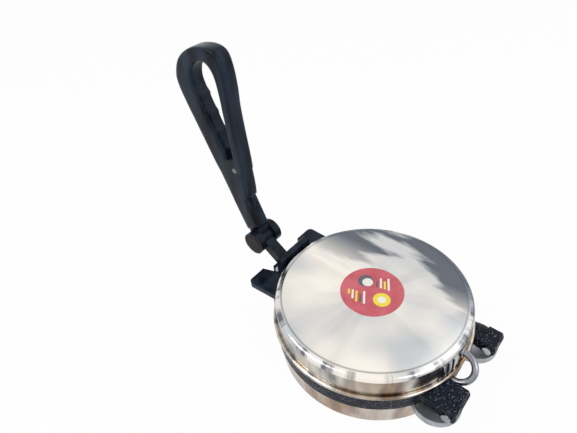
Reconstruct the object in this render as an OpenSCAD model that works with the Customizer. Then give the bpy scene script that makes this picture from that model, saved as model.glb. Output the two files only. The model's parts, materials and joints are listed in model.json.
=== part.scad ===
// Electric roti maker: two round cooking plates that are hinged at the back,
// and a pressing lever with two rollers at the front.
// X runs along the hinge pins, +Y points to the hinges, +Z is up.
// The sizes are worked out from the plates' common axis and the height that the feet stand on.
// placed() then moves every piece, so that the origin is below the middle of the whole object.

/* [Heights] */
// Height of the feet, from the floor to the casing
foot_h = 8; // [6:0.5:14]
// Height of the steel casing
casing_h = 31.4; // [30:0.2:45]
// Height of the cast rim of the lower plate
rim_h = 22; // [21:0.5:28]
// Gap between the two cooking plates when the lid is shut
plate_gap = 0.6; // [0.4:0.1:1.5]
// Height of the lid, from its rolled edge to its top
lid_h = 34; // [33:0.5:44]

/* [Casing] */
// How far the top of the casing lies inside the rim
casing_in = 1.2; // [0.4:0.1:3]
// How much smaller the casing's radius is at its bottom
casing_taper = 1.9; // [0:0.1:3]
// Thickness of the steel sheet
sheet = 0.8; // [0.6:0.1:1.2]
// Width of the casing's turned-in flanges
flange_w = 12; // [9:0.5:16]
// Rounding of the casing's lower corner
corner_r = 2.4; // [1.5:0.1:4]
// How far the feet's centres lie inside the top of the casing
foot_in = 31.8; // [28:0.2:50]
// Radius of a foot
foot_r = 12; // [8:0.5:14]

/* [Plates] */
// Outer radius of the lower plate's rim
rim_r = 117; // [110:0.5:125]
// Wall of the rim
rim_wall = 5; // [4:0.5:8]
// Thickness of a cooking plate
plate_t = 10; // [9:0.5:12]
// How far the upper cooking plate lies inside the lid's band
plate_in = 2.9; // [2:0.1:6]
// Radius of the heating rings
heater_ring_r = 70; // [60:1:80]
// Thickness of a heating ring
heater_d = 8; // [6:0.5:8]
// Gap between the casing's flange and the clamp plates with their insulation
clamp_gap = 9.8; // [7:0.2:14]
// Thickness of a clamp plate
clamp_t = 1.5; // [1:0.5:2]
// Thickness of the insulation
insulation_t = 6; // [4:0.5:7]

/* [Lid] */
// How far the top of the lid's side band lies inside the rim
band_in = 2.1; // [1.6:0.1:2.6]
// How much wider the band is at its lower edge
band_flare = 1.5; // [1:0.1:2]
// Thickness of the band's rolled edge
bead_d = 4.6; // [3:0.2:5]
// Width of the lid's shoulder, from its flat top to its side
shoulder_w = 8.1; // [6.8:0.1:15]
// Radius of the lid's shoulder
shoulder_r = 5; // [3:0.5:5.5]
// Height of the cap's side over the band
skirt_h = 7.2; // [6.8:0.2:9]
// Radius of the round label
label_r = 37.5; // [20:0.5:45]
// Thickness of the round label
label_t = 0.3; // [0.2:0.1:0.6]

/* [Hinges] */
// Distance of the hinge pins behind the rim
hinge_out = 14.5; // [13:0.5:23]
// Depth of the hinge pins below the cooking face
hinge_drop = 9.4; // [9.4:0.2:12]
// Radius of a hinge pin
pin_r = 3.5; // [2.5:0.25:4]
// Radial clearance of a shaft in its bore
pin_gap = 0.05; // [0.02:0.01:0.1]
// Radius of the knuckles round the pins
knuckle_r = 9; // [7:0.5:9]
// Right side of the lid's right arm
arm_a_x = 51.1; // [48:0.5:54]
// Width of the lid's right arm
arm_a_w = 21.6; // [12:0.2:22]
// Right side of the lid's left arm
arm_b_x = -48.9; // [-50:0.1:-46]
// Width of the lid's left arm at its knuckle
arm_b_w = 11.6; // [8:0.2:13]
// Width of the left arm's neck, between the lid and the knuckle
neck_w = 5; // [3:0.5:8]
// Thickness of the lid's arms under the rolled edge
arm_t = 7; // [5:0.5:8]
// Width of an ear of the lower plate
ear_w = 12.6; // [9:0.2:14]
// Gap between an ear and an arm
side_gap = 0.4; // [0.3:0.1:0.8]
// Radius of the steel cups under the hinges
cup_r = 27; // [22:0.5:28]
// Height of the steel cups
cup_h = 9; // [6:0.5:10]

/* [Conduit] */
// Diameter of the steel conduit between base and lid
conduit_d = 7.4; // [6:0.2:8]
// Distance of the conduit's lower end to the right of the middle
conduit_low_x = 24; // [22:0.5:24]
// Distance of the conduit's upper end to the right of the middle
conduit_high_x = 4; // [0:0.5:8]
// Depth of the conduit's lower end below the cooking face
conduit_low_drop = 6.4; // [5.6:0.2:7]
// Height of the conduit's upper end above the lid's lower edge
conduit_high_h = 19; // [16:0.5:21]
// Distance of the start of the conduit's bend behind the rim
bend_out = 2; // [1.5:0.5:7]

/* [Press bracket] */
// Half the width of the bracket over its two wings
wing_x = 64; // [58:1:70]
// Half the width of the slot between the wings
slot_x = 30; // [28:0.5:34]
// Distance of the wings' front edge in front of the rim
wing_out = 29; // [25:1:35]
// Thickness of the wings
wing_t = 8; // [5:0.5:8]
// Height of the wings' top above the lid's lower edge
wing_h = 14; // [13.5:0.5:18]
// Half the width of the pressing lug
lug_x = 28; // [20:0.5:28]
// Thickness of the pressing lug
lug_t = 8.6; // [7:0.2:8.8]
// How far the lug stands above the lid's top
lug_rise = 3; // [0:0.5:3]

/* [Lever] */
// Distance of the lever's pivot in front of the rim
pivot_out = 18; // [18:0.5:21]
// Radius of the pivot's eyes
eye_r = 7.8; // [7:0.2:8]
// Radius of the pivot pin
pivot_r = 4; // [3:0.25:4.5]
// Distance from the pivot to the roller axle
crank = 51; // [50:0.5:56]
// Angle of the crank above the horizontal, in degrees
crank_angle = 36; // [32:1:42]
// Width of the crank
crank_w = 16; // [12:0.5:17]
// Thickness of the crank
crank_t = 13; // [10:0.5:14]
// Wall of the pivot bracket's ears
bracket_wall = 6; // [4:0.5:8]
// Radius of a roller
roller_r = 16; // [13:0.5:16.5]
// Width of a roller
roller_w = 10; // [9:0.5:12]
// Radius of the roller axle
axle_r = 3; // [2.5:0.25:3.5]

/* [Handle] */
// Lean of the handle from the vertical, in degrees
handle_lean = 22.5; // [18:0.5:28]
// Length of the handle from the axle to its top
handle_l = 261.5; // [250:1:290]
// Width of the handle
handle_w = 22; // [19:0.5:26]
// Depth of the grip, over which the fingers close
grip_d = 29; // [26:0.5:30]
// Depth of the bow on the lid's side of the finger opening
bow_d = 12.5; // [11:0.5:15]
// Depth of the whole handle near its top
reach = 91; // [80:1:100]
// Rounding of the handle's edges
edge_r = 4; // [3:0.5:5]
// Spacing of the finger ridges
ridge_pitch = 24; // [20:0.5:25]

/* [Inlet] */
// Width of the inlet's housing
inlet_w = 34; // [32:1:40]
// Height of the inlet's housing
inlet_h = 22; // [20:0.5:24]
// How far the housing stands out of the casing
inlet_out = 20; // [16:0.5:26]

/* [Hidden] */
$fn = 96;
round_fn = 128;
small_fn = 32;
cut = 0.5;
weld = 0.05;
wide = 400;

// Heights from the floor up
casing_z = foot_h;
rim_z = casing_z + casing_h;
split_z = rim_z + rim_h;
lid_z = split_z + plate_gap;
top_z = lid_z + lid_h;
cover_z = casing_z - sheet;
plate_low_z = split_z - plate_t;
upper_top_z = lid_z + plate_t;
skirt_z = top_z - skirt_h;

// Radii and distances from the plates' axis
casing_r = rim_r - casing_in;
band_r = rim_r - band_in;
upper_plate_r = band_r - plate_in;
hinge_y = rim_r + hinge_out;
pivot_y = rim_r + pivot_out;
wing_y = rim_r + wing_out;
conduit_bend_y = rim_r + bend_out;

// Lid: the cap fits over the band, and the band rests on the upper plate
fit = 0.1;
cap_r = band_r + sheet + fit;
cap_slope = 0.9;
top_flat_r = cap_r - shoulder_w;
lip_z = top_z - cap_slope - shoulder_r;
band_low_r = band_r + band_flare;
bead_z = lid_z + bead_d / 2 + fit;
bead_ring_r = band_low_r + 1.6;
band_seat_r = upper_plate_r - 6;
band_screw_r = upper_plate_r - 3;

// Casing and cover
casing_low_r = casing_r - casing_taper;
flange_r = casing_r - flange_w;
clamp_r = flange_r - clamp_gap;
foot_ring_r = casing_r - foot_in;
corner_sweep = 72;
cover_r = casing_low_r - corner_r - 3;
cover_screw_r = (flange_r + cover_r) / 2;
cover_hole_r = 1.6;
foot_hole_r = 2.2;
foot_web = foot_h / 2;

// Tie bolts, and what they clamp
tie_r = 4;
tie_hex_r = 7;
tie_head = 4;
boss_r = 9;
thread_depth = 9;
clamp_stack = heater_d + clamp_t;
lower_boss_z = plate_low_z - clamp_stack;
lower_insulation_z = lower_boss_z - insulation_t;
upper_boss_z = upper_top_z + clamp_stack;
upper_insulation_z = upper_boss_z;
washer_r = 16;
washer_t = 1.2;
stud_r = 3;
stud_hex_r = 5.5;
stud_nut_h = 3;

// Heating rings: the gap in the ring and its straight ends
ring_gap = 14;
cold_l = 13;
cold_r = 3;
cold_gap = 0.6;
cold_x = heater_ring_r * sin(ring_gap);
cold_y = heater_ring_r * cos(ring_gap);
lower_heater_z = plate_low_z - heater_d / 2;
upper_heater_z = upper_top_z + heater_d / 2;
thermostat_x = 34;
thermostat_r = 13;
thermostat_rim = 3;
thermostat_h = 12;
tab_l = 6;
cutout_x = -46;
cutout_y = -18;
cutout_l = 16;
cutout_r = 2.2;
cutout_drop = 5;

// Leads: the ball at a turn is wide enough to hold both ends that meet in it
lead_r = 1.2;
lead_ball = 1.5 * lead_r;
lead_back = 1.05 * lead_r;
lead_fn = 10;
lead_pair = 1.9;
lead_z = casing_z + 7;
joint_z = lead_z + 9;
lead_turn_x = -48;
lead_rise_y = sqrt(pow((clamp_r + flange_r) / 2, 2) - pow(conduit_low_x, 2));

// Inlet and pilot lamp
inlet_z = casing_z + casing_h / 2;
inlet_depth = 12.8;
inlet_in = casing_r - inlet_depth;
inlet_wall = 2.5;
inlet_floor = 3;
inlet_x = -casing_r - inlet_out;
inlet_screw_y = inlet_w / 2 + 4;
inlet_pin_y = 10;
inlet_pin_r = 2;
inlet_screw_l = 9;
block_w = 16;
block_l = 44;
block_h = 13;
block_x = 31 - inlet_in;
block_mid_x = block_x + block_w / 2;
block_end = 6;
way_y = block_l / 2 - 7;
way_r = 2.6;
earth_x = block_x + 12;
earth_y = -block_l / 2 - 16;
lamp_angle = 150;
lamp_r = 4.5;
casing_lean = atan(casing_taper / casing_h);

// Hinges
hinge_z = split_z - hinge_drop;
ear_top_z = split_z - 0.2;
lug_r = band_r - sheet - 0.1;
arm_top_z = lid_z - 0.2;
arm_low_z = arm_top_z - arm_t;
pocket_gap = 0.5;
pocket_z = arm_low_z - 0.8;
ARMS = [[arm_a_x, arm_a_w, arm_a_w], [arm_b_x, arm_b_w, neck_w]];
ear_root = 25;
ear_low = hinge_drop + 3;
head_t = 3.2;
pin_head_r = 5.2;
peen_r = 4.6;
peen_t = 1.2;
cup_top_z = hinge_z - knuckle_r - 1;

// Conduit
conduit_low_z = split_z - conduit_low_drop;
conduit_high_z = lid_z + conduit_high_h;
conduit_in = 8;
conduit_gap = 0.15;
ferrule_w = 2.4;
ferrule_t = 3;
conduit_drop = conduit_high_z - conduit_low_z;
conduit_side = conduit_low_x - conduit_high_x;
conduit_span = norm([conduit_side, conduit_drop]);
conduit_turn = atan2(conduit_drop, conduit_side);

// Seam plate: its angles round the axis, and where its folds start
seam_end = 21;
seam_angle = 14.5;
seam_t = 0.9;
fold_angle = 1.2;
fold_t = 2.2;
seam_folds = [2, 6, 10];

// Press bracket
wing_top_z = lid_z + wing_h;
wing_low_z = wing_top_z - wing_t;
wing_corner = 6;
strap_t = 4.6;
strap_low_z = bead_z + bead_d / 2 + 0.4;
strap_top_z = wing_top_z - 0.6;
strap_angle = 34;
strap_mid_r = band_r + 3.1;
pad_r = band_r + strap_t + 2;
pad_top_z = wing_top_z + 7;
pad_angle = 12.6;
lug_back_y = cap_r + 1.6;
lug_front_y = lug_back_y + lug_t;
lug_top_z = top_z + lug_rise;
lug_edge = 3;
press_screw_angle = 10;
press_screw_z = wing_top_z + 3.2;
press_screw_l = 8.4;

// Lever
pivot_z = lid_z;
axle_y = -pivot_y - crank * cos(crank_angle);
axle_z = pivot_z + crank * sin(crank_angle);
hub_r = roller_r - 5;
hub_x = crank_w / 2 + 1.6;
roller_gap = 0.4;
roller_x = hub_x + roller_gap;
cap_disc_r = roller_r - 4;
cap_disc_t = 1.8;
cap_seat = 1.2;
clip_r = axle_r + 2.5;
clip_t = 1;
clip_room = 3.2;
clip_x = roller_x + roller_w - cap_seat - clip_room + 0.3;
bracket_x = crank_w / 2 + 0.6;
bracket_low_z = rim_z + 3.6;
bracket_front_y = pivot_y + 14;
stop_back_y = bracket_front_y - 4.5;
stop_z = pivot_z + (stop_back_y - pivot_y) * tan(crank_angle) - crank_t / 2 / cos(crank_angle) - 0.3;
flange_top_z = split_z - 2.4;
flange_x = 25;
flange_t = 4;
bolt_x = 19.5;
bolt_r = 2.5;
bolt_head_r = 4.2;
bolt_head = 3;
bolt_depth = 12;
bolt_z = plate_low_z + bolt_r + 0.5;
bolt_seat_y = sqrt(pow(rim_r + flange_t, 2) - pow(bolt_x - bolt_head_r, 2)) + weld;

// Handle: its outline is drawn with Y as depth from the axle's line, towards the lid, and Z as length
grip_back = 16;
grip_n = grip_d - grip_back;
stem_z = roller_r + 1.6;
step_z = 64;
web_z = 122;
knee_drop = 77;
crown_z = handle_l - 36;
tang_w = 5;
tang_gap = 0.2;
tang_top_z = 112;
screw_y = 19;
screw_z = 107;
screw_head_r = 3.8;
ridge_r = 3.2;

// Middle of the whole object: from the inlet to the lid's bead, and from the handle to the knuckles
crown_y = grip_n - grip_d - 1;
front_y = axle_y + (crown_y + edge_r) * cos(handle_lean) - crown_z * sin(handle_lean) - edge_r;
mid_x = (inlet_x + bead_ring_r + bead_d / 2) / 2;
mid_y = (front_y + hinge_y + knuckle_r) / 2;

// Radius of the casing, and of the lid's band, at a height
function casing_r_at(z) = casing_r - casing_taper * (rim_z - z) / casing_h;
function band_r_at(z) = band_r + band_flare * (lip_z - z) / (lip_z - bead_z);

// Points along an arc about c, from angle a0 to a1
function arc(c, r, a0, a1, n = 10) =
    [for (i = [0 : n]) c + r * [cos(a0 + (a1 - a0) * i / n), sin(a0 + (a1 - a0) * i / n)]];

// Front edge of the pocket for an arm: the arm is joined to the plate just behind it
function pocket_y(a) = sqrt(lug_r * lug_r - pow(max(abs(a[0]), abs(a[0] - a[1])), 2)) - 6;

// Moves a piece from the plates' axis to the row's frame
module placed() {
    translate([-mid_x, -mid_y, 0]) children();
}

// An outline drawn in (Y, Z), as a slab from x0 to x0 + w
module slab(x0, w) {
    translate([x0, 0, 0]) rotate([90, 0, 90]) linear_extrude(height = w) children();
}

// A round bar along X, from x0 to x0 + w, at a place in (Y, Z)
module bar_x(x0, w, y, z, r, fn = small_fn) {
    translate([x0, y, z]) rotate([0, 90, 0]) cylinder(h = w, r = r, $fn = fn);
}

// Copies in a ring about the axis
module ring_of(n, r, start = 0) {
    for (i = [0 : n - 1]) rotate([0, 0, start + i * 360 / n]) translate([r, 0, 0]) children();
}

// A pan-head screw that points up from z = 0
module screw_up(r, l, head_r, head_h) {
    cylinder(h = l, r = r, $fn = small_fn);
    translate([0, 0, -head_h]) cylinder(h = head_h, r = head_r, $fn = small_fn);
}

// A hexagon nut on z = 0
module hex_nut(r, h, bore) {
    difference() {
        cylinder(h = h, r = r, $fn = 6);
        translate([0, 0, -cut]) cylinder(h = h + 2 * cut, r = bore + pin_gap, $fn = small_fn);
    }
}

// A round bar from point a to point b
module run(a, b, r) {
    v = b - a;
    l = norm(v);
    translate(a) rotate([0, acos(v[2] / l), atan2(v[1], v[0])]) cylinder(h = l, r = r, $fn = lead_fn);
}

// A lead that goes straight from point to point, with a ball at each turn
module lead(points, ball_first = false) {
    last = len(points) - 1;
    for (i = [0 : last - 1]) {
        v = (points[i + 1] - points[i]) / norm(points[i + 1] - points[i]);
        a = i == 0 && !ball_first ? 0 : lead_back;
        b = i == last - 1 ? 0 : lead_back;
        run(points[i] + v * a, points[i + 1] - v * b, lead_r);
    }
    for (i = [ball_first ? 0 : 1 : last - 1]) translate(points[i]) sphere(r = lead_ball, $fn = lead_fn);
}

// Moves what is drawn in the handle's own frame to its place on the lever
module on_handle() {
    translate([0, axle_y, axle_z]) rotate([handle_lean, 0, 0]) children();
}

// Lower plate: one casting with its rim and its two hinge ears

module ear_outline() {
    difference() {
        union() {
            translate([hinge_y, hinge_z]) circle(r = knuckle_r);
            polygon([[rim_r - ear_root, ear_top_z], [hinge_y + knuckle_r - 1, ear_top_z],
                     [hinge_y + knuckle_r, hinge_z + 2], [hinge_y, hinge_z],
                     [hinge_y - knuckle_r * 0.8, hinge_z - knuckle_r * 0.6],
                     [rim_r - 2, split_z - ear_low], [rim_r - ear_root, split_z - ear_low]]);
        }
        translate([hinge_y, hinge_z]) circle(r = pin_r + pin_gap);
    }
}

module hinge_ears() {
    difference() {
        for (a = ARMS) slab(a[0] + side_gap, ear_w) ear_outline();
        translate([0, 0, rim_z - cut]) cylinder(h = rim_h + 2 * cut, r = rim_r - 1, $fn = round_fn);
    }
}

module rimmed_plate() {
    difference() {
        translate([0, 0, rim_z]) cylinder(h = rim_h, r = rim_r, $fn = round_fn);
        translate([0, 0, rim_z - cut])
            cylinder(h = plate_low_z - rim_z + cut, r = rim_r - rim_wall, $fn = round_fn);
    }
}

module lower_plate() {
    color([0.20, 0.21, 0.24]) placed() difference() {
        union() {
            rimmed_plate();
            hinge_ears();
            translate([0, 0, lower_boss_z]) cylinder(h = clamp_stack + weld, r = boss_r);
        }
        for (a = ARMS) translate([a[0] - a[2] - pocket_gap, pocket_y(a), pocket_z])
            cube([a[2] + pocket_gap + side_gap, rim_r, rim_h]);
        translate([0, 0, lower_boss_z - cut]) cylinder(h = thread_depth + cut, r = tie_r + pin_gap);
        translate([conduit_low_x, lead_rise_y, conduit_low_z]) rotate([-90, 0, 0])
            cylinder(h = rim_r, r = conduit_d / 2 + conduit_gap, $fn = small_fn);
        translate([conduit_low_x, lead_rise_y, plate_low_z - cut])
            cylinder(h = conduit_low_z + lead_ball + cut - plate_low_z + cut,
                r = conduit_d / 2 + conduit_gap + 0.2, $fn = small_fn);
        for (s = [-1, 1]) translate([s * bolt_x, -rim_r - cut, bolt_z]) rotate([-90, 0, 0])
            cylinder(h = bolt_depth + 1 + cut, r = bolt_r + pin_gap, $fn = small_fn);
    }
}

// Casing, cover and feet

module base_casing() {
    color([0.72, 0.70, 0.68]) placed() difference() {
        rotate_extrude($fn = round_fn) polygon(concat(
            [[flange_r, casing_z], [casing_low_r - corner_r, casing_z]],
            arc([casing_low_r - corner_r, casing_z + corner_r], corner_r, -corner_sweep, 0, 4),
            [[casing_r, rim_z], [flange_r, rim_z], [flange_r, rim_z - sheet],
                [casing_r - sheet, rim_z - sheet]],
            arc([casing_low_r - corner_r, casing_z + corner_r], corner_r - sheet, 0, -corner_sweep, 4),
            [[casing_low_r - corner_r, casing_z + sheet], [flange_r, casing_z + sheet]]));
        translate([-casing_r - 5, -inlet_w / 2 - side_gap, inlet_z - inlet_h / 2 - side_gap])
            cube([15, inlet_w + 2 * side_gap, inlet_h + 2 * side_gap]);
        rotate([0, 0, lamp_angle]) translate([casing_r_at(inlet_z), 0, inlet_z])
            rotate([0, 90 + casing_lean, 0])
            translate([0, 0, -8]) cylinder(h = 16, r = lamp_r + fit, $fn = small_fn);
        for (s = [-1, 1]) translate([-casing_r - 5, s * inlet_screw_y, inlet_z]) rotate([0, 90, 0])
            cylinder(h = 15, r = cover_hole_r, $fn = small_fn);
        ring_of(4, cover_screw_r, 45) translate([0, 0, casing_z - cut])
            cylinder(h = 2, r = cover_hole_r, $fn = small_fn);
    }
}

module bottom_cover() {
    color([0.62, 0.62, 0.63]) placed() difference() {
        translate([0, 0, cover_z]) cylinder(h = sheet, r = cover_r, $fn = round_fn);
        ring_of(4, cover_screw_r, 45) translate([0, 0, cover_z - cut])
            cylinder(h = 2, r = cover_hole_r, $fn = small_fn);
        ring_of(4, foot_ring_r, 45) translate([0, 0, cover_z - cut])
            cylinder(h = 2, r = foot_hole_r, $fn = small_fn);
        translate([0, 0, cover_z - cut]) cylinder(h = 2, r = tie_r + fit, $fn = small_fn);
        translate([earth_x, earth_y, cover_z - cut]) cylinder(h = 2, r = foot_hole_r, $fn = small_fn);
    }
}

module cover_screws() {
    color([0.8, 0.8, 0.8]) placed() ring_of(4, cover_screw_r, 45) translate([0, 0, cover_z])
        screw_up(1.5, 5, 2.3, 1.4);
}

// A foot is a squat cone with a stepped hole for its screw
module foot() {
    difference() {
        rotate_extrude($fn = 64) polygon([[0, 0], [foot_r - 1.5, 0], [foot_r, 1.2],
            [foot_r - 1.5, cover_z], [0, cover_z]]);
        translate([0, 0, -cut]) cylinder(h = foot_web + cut, r = 4.4, $fn = small_fn);
        translate([0, 0, -cut]) cylinder(h = foot_h + 2, r = foot_hole_r, $fn = small_fn);
    }
}

module feet() {
    color([0.1, 0.1, 0.11]) placed() ring_of(4, foot_ring_r, 45) foot();
}

module foot_screws() {
    color([0.8, 0.8, 0.8]) placed() ring_of(4, foot_ring_r, 45) {
        translate([0, 0, foot_web]) screw_up(2, foot_h - foot_web + 5, 3.8, 2);
        translate([0, 0, casing_z]) hex_nut(4, 3, 2);
    }
}

// Heating ring, clamp plate and insulation, alike under one plate and over the other

// The ring's ends turn straight up for side = 1 and straight down for side = -1
module heater(z, side) {
    translate([0, 0, z]) {
        rotate([0, 0, 90 + ring_gap]) rotate_extrude(angle = 360 - 2 * ring_gap, $fn = round_fn)
            translate([heater_ring_r, 0]) circle(r = heater_d / 2, $fn = small_fn);
        for (s = [-1, 1]) translate([s * cold_x, cold_y, side > 0 ? 0 : -cold_l])
            cylinder(h = cold_l, r = cold_r, $fn = small_fn);
    }
}

module pierced_disc(z, t, hole) {
    difference() {
        translate([0, 0, z]) cylinder(h = t, r = clamp_r, $fn = round_fn);
        translate([0, 0, z - cut]) cylinder(h = t + 2 * cut, r = hole);
        for (s = [-1, 1]) translate([s * cold_x, cold_y, z - cut])
            cylinder(h = t + 2 * cut, r = cold_r + cold_gap, $fn = small_fn);
        translate([thermostat_x, 0, z - cut]) cylinder(h = t + 2 * cut, r = thermostat_r + 1);
    }
}

module lower_heater() { color([0.55, 0.52, 0.5]) placed() heater(lower_heater_z, -1); }
module lower_clamp() { color([0.66, 0.66, 0.66]) placed() pierced_disc(lower_boss_z, clamp_t, boss_r + fit); }
module lower_insulation() {
    color([0.88, 0.85, 0.78]) placed() pierced_disc(lower_insulation_z, insulation_t, boss_r + fit);
}
module upper_heater() { color([0.55, 0.52, 0.5]) placed() heater(upper_heater_z, 1); }
module upper_clamp() {
    color([0.66, 0.66, 0.66]) placed() pierced_disc(upper_boss_z - clamp_t, clamp_t, boss_r + fit);
}
module upper_insulation() {
    color([0.88, 0.85, 0.78]) placed() pierced_disc(upper_insulation_z, insulation_t, stud_r + fit);
}

module base_tie_bolt() {
    color([0.78, 0.78, 0.78]) placed() translate([0, 0, cover_z - tie_head]) {
        cylinder(h = tie_head, r = tie_hex_r, $fn = 6);
        cylinder(h = lower_boss_z + thread_depth - 1 - cover_z + tie_head, r = tie_r, $fn = small_fn);
    }
}

// One nut stands on the cover, the other holds the washer under the insulation
module base_tie_nuts() {
    color([0.78, 0.78, 0.78]) placed() {
        translate([0, 0, casing_z]) hex_nut(tie_hex_r, 5, tie_r);
        translate([0, 0, lower_insulation_z - washer_t]) difference() {
            cylinder(h = washer_t, r = washer_r);
            translate([0, 0, -cut]) cylinder(h = washer_t + 2 * cut, r = tie_r + pin_gap, $fn = small_fn);
        }
        translate([0, 0, lower_insulation_z - washer_t - 5]) hex_nut(tie_hex_r, 5, tie_r);
    }
}

// Electrical parts in the base

module thermostat() {
    color([0.82, 0.78, 0.7]) placed() translate([thermostat_x, 0, plate_low_z - thermostat_h]) {
        translate([0, 0, thermostat_h - thermostat_rim]) cylinder(h = thermostat_rim, r = thermostat_r);
        cylinder(h = thermostat_h, r = thermostat_r - 2);
        for (s = [-1, 1]) translate([-0.4, s * 6 - 3, -tab_l]) cube([0.8, 6, tab_l + weld]);
    }
}

module thermal_cutout() {
    color([0.8, 0.8, 0.82]) placed() {
        bar_x(cutout_x, cutout_l, cutout_y, lower_insulation_z - cutout_drop, cutout_r);
        translate([cutout_x + cutout_l / 4, cutout_y - cutout_r * 1.6,
            lower_insulation_z - cutout_drop + cutout_r * 0.7])
            cube([cutout_l / 2, cutout_r * 3.2, cutout_drop - cutout_r * 0.7]);
    }
}

module terminal_block() {
    color([0.9, 0.88, 0.82]) placed() difference() {
        translate([block_x, -block_l / 2, casing_z]) cube([block_w, block_l, block_h]);
        for (i = [-1 : 1]) bar_x(block_x - cut, block_w + 2 * cut, way_y * i, lead_z, way_r);
        for (i = [-1 : 1]) translate([block_mid_x, way_y * i, lead_z])
            cylinder(h = block_h, r = way_r - 0.4, $fn = small_fn);
    }
}

// From the inlet to the terminal block, and from there to the ring, the thermostat, earth and the lid
module base_leads() {
    block_in = block_x + block_end;
    block_out = block_x + block_w - block_end;
    tab_z = plate_low_z - thermostat_h - tab_l;
    ring_z = lower_heater_z - cold_l;
    color([0.85, 0.84, 0.8]) placed() {
        for (i = [-1 : 1]) lead([[-inlet_in, inlet_pin_y * i, inlet_z],
            [-inlet_in + 11, inlet_pin_y * i, inlet_z],
            [block_x - 5, way_y * i, lead_z], [block_in, way_y * i, lead_z]]);
        lead([[block_out, way_y, lead_z], [lead_turn_x, way_y, lead_z], [-cold_x, cold_y, lead_z],
            [-cold_x, cold_y, ring_z]]);
        lead([[block_out, 0, lead_z], [lead_turn_x, 0, lead_z], [-12, -14, lead_z],
            [thermostat_x, -6, lead_z], [thermostat_x, -6, tab_z]]);
        lead([[thermostat_x, 6, tab_z], [thermostat_x, 6, lead_z + 5], [cold_x, cold_y, lead_z + 5],
            [cold_x, cold_y, ring_z]]);
        lead([[block_out, -way_y, lead_z], [lead_turn_x, -way_y, lead_z], [earth_x, earth_y, lead_z + 5],
            [earth_x, earth_y, casing_z + 6.3]]);
        for (s = [-1, 1]) lead([[s * cold_x, cold_y, joint_z],
            [conduit_low_x + s * lead_pair, clamp_r - 2, joint_z],
            [conduit_low_x + s * lead_pair, lead_rise_y, joint_z + 5],
                [conduit_low_x + s * lead_pair, lead_rise_y, conduit_low_z],
            [conduit_low_x + s * lead_pair, rim_r - conduit_in - fit, conduit_low_z]], true);
    }
}

module earth_screw() {
    color([0.85, 0.7, 0.35]) placed() translate([earth_x, earth_y, cover_z]) {
        screw_up(2, 7, 3.6, 1.8);
        translate([0, 0, sheet]) hex_nut(4, 3, 2);
    }
}

// Appliance inlet and pilot lamp, on the left side of the casing

module inlet_housing() {
    color([0.12, 0.12, 0.13]) placed() {
        difference() {
            union() {
                translate([inlet_x, -inlet_w / 2, inlet_z - inlet_h / 2])
                    cube([inlet_out + casing_r - inlet_in, inlet_w, inlet_h]);
                difference() {
                    translate([-casing_r - 3, -inlet_w / 2 - 8, inlet_z - inlet_h / 2 - 2])
                        cube([9, inlet_w + 16, inlet_h + 4]);
                    translate([0, 0, casing_z]) cylinder(h = casing_h, r1 = casing_low_r + fit,
                        r2 = casing_r + fit, $fn = round_fn);
                }
            }
            translate([inlet_x - cut, -inlet_w / 2 + inlet_wall, inlet_z - inlet_h / 2 + inlet_wall])
                cube([inlet_out - inlet_floor + cut, inlet_w - 2 * inlet_wall, inlet_h - 2 * inlet_wall]);
            for (i = [-1 : 1]) bar_x(inlet_x, inlet_out + 40, inlet_pin_y * i, inlet_z,
                inlet_pin_r + pin_gap);
            for (s = [-1, 1]) bar_x(-casing_r - 5, 15, s * inlet_screw_y, inlet_z, cover_hole_r);
        }
    }
}

module inlet_pins() {
    color([0.8, 0.75, 0.6]) placed() for (i = [-1 : 1])
        bar_x(inlet_x + 3, -inlet_in - inlet_x - 3, inlet_pin_y * i, inlet_z, inlet_pin_r);
}

module inlet_screws() {
    color([0.8, 0.8, 0.8]) placed() for (s = [-1, 1])
        translate([-casing_r - 3, s * inlet_screw_y, inlet_z]) rotate([0, 90, 0])
            screw_up(1.5, inlet_screw_l, 2.6, 1.6);
}

module pilot_lamp() {
    color([0.85, 0.25, 0.1]) placed() rotate([0, 0, lamp_angle]) translate([casing_r_at(inlet_z), 0, inlet_z])
        rotate([0, 90 + casing_lean, 0]) rotate_extrude($fn = 64)
        polygon([[0, -9], [lamp_r, -9], [lamp_r, fit], [lamp_r + 1.6, fit], [lamp_r + 1, 1.8], [0, 2.2]]);
}

// Steel cups under the hinges, cut out to fit against the casing and the rim
module hinge_cups() {
    color([0.8, 0.8, 0.8]) placed() difference() {
        for (a = ARMS) translate([a[0] + (ear_w - a[1]) / 2, hinge_y - 18.5, cup_top_z - cup_h])
            difference() {
            cylinder(h = cup_h, r = cup_r);
            translate([0, 0, sheet]) cylinder(h = cup_h, r = cup_r - sheet);
        }
        translate([0, 0, casing_z]) cylinder(h = casing_h, r1 = casing_low_r + fit, r2 = casing_r + fit,
            $fn = round_fn);
        translate([0, 0, rim_z - weld]) cylinder(h = rim_h, r = rim_r + fit, $fn = round_fn);
    }
}

// Each pin has its head on the ear's side and is riveted over beyond the arm
module hinge_pins() {
    color([0.85, 0.85, 0.86]) placed() for (a = ARMS) {
        bar_x(a[0] + side_gap + ear_w + fit, head_t, hinge_y, hinge_z, pin_head_r);
        bar_x(a[0] - a[1] - 1, side_gap + ear_w + a[1] + 1.5, hinge_y, hinge_z, pin_r, $fn);
        bar_x(a[0] - a[1] - 0.3 - peen_t, peen_t, hinge_y, hinge_z, peen_r);
    }
}

// Bracket on the front of the rim, with the lever's pivot and its stop

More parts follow.
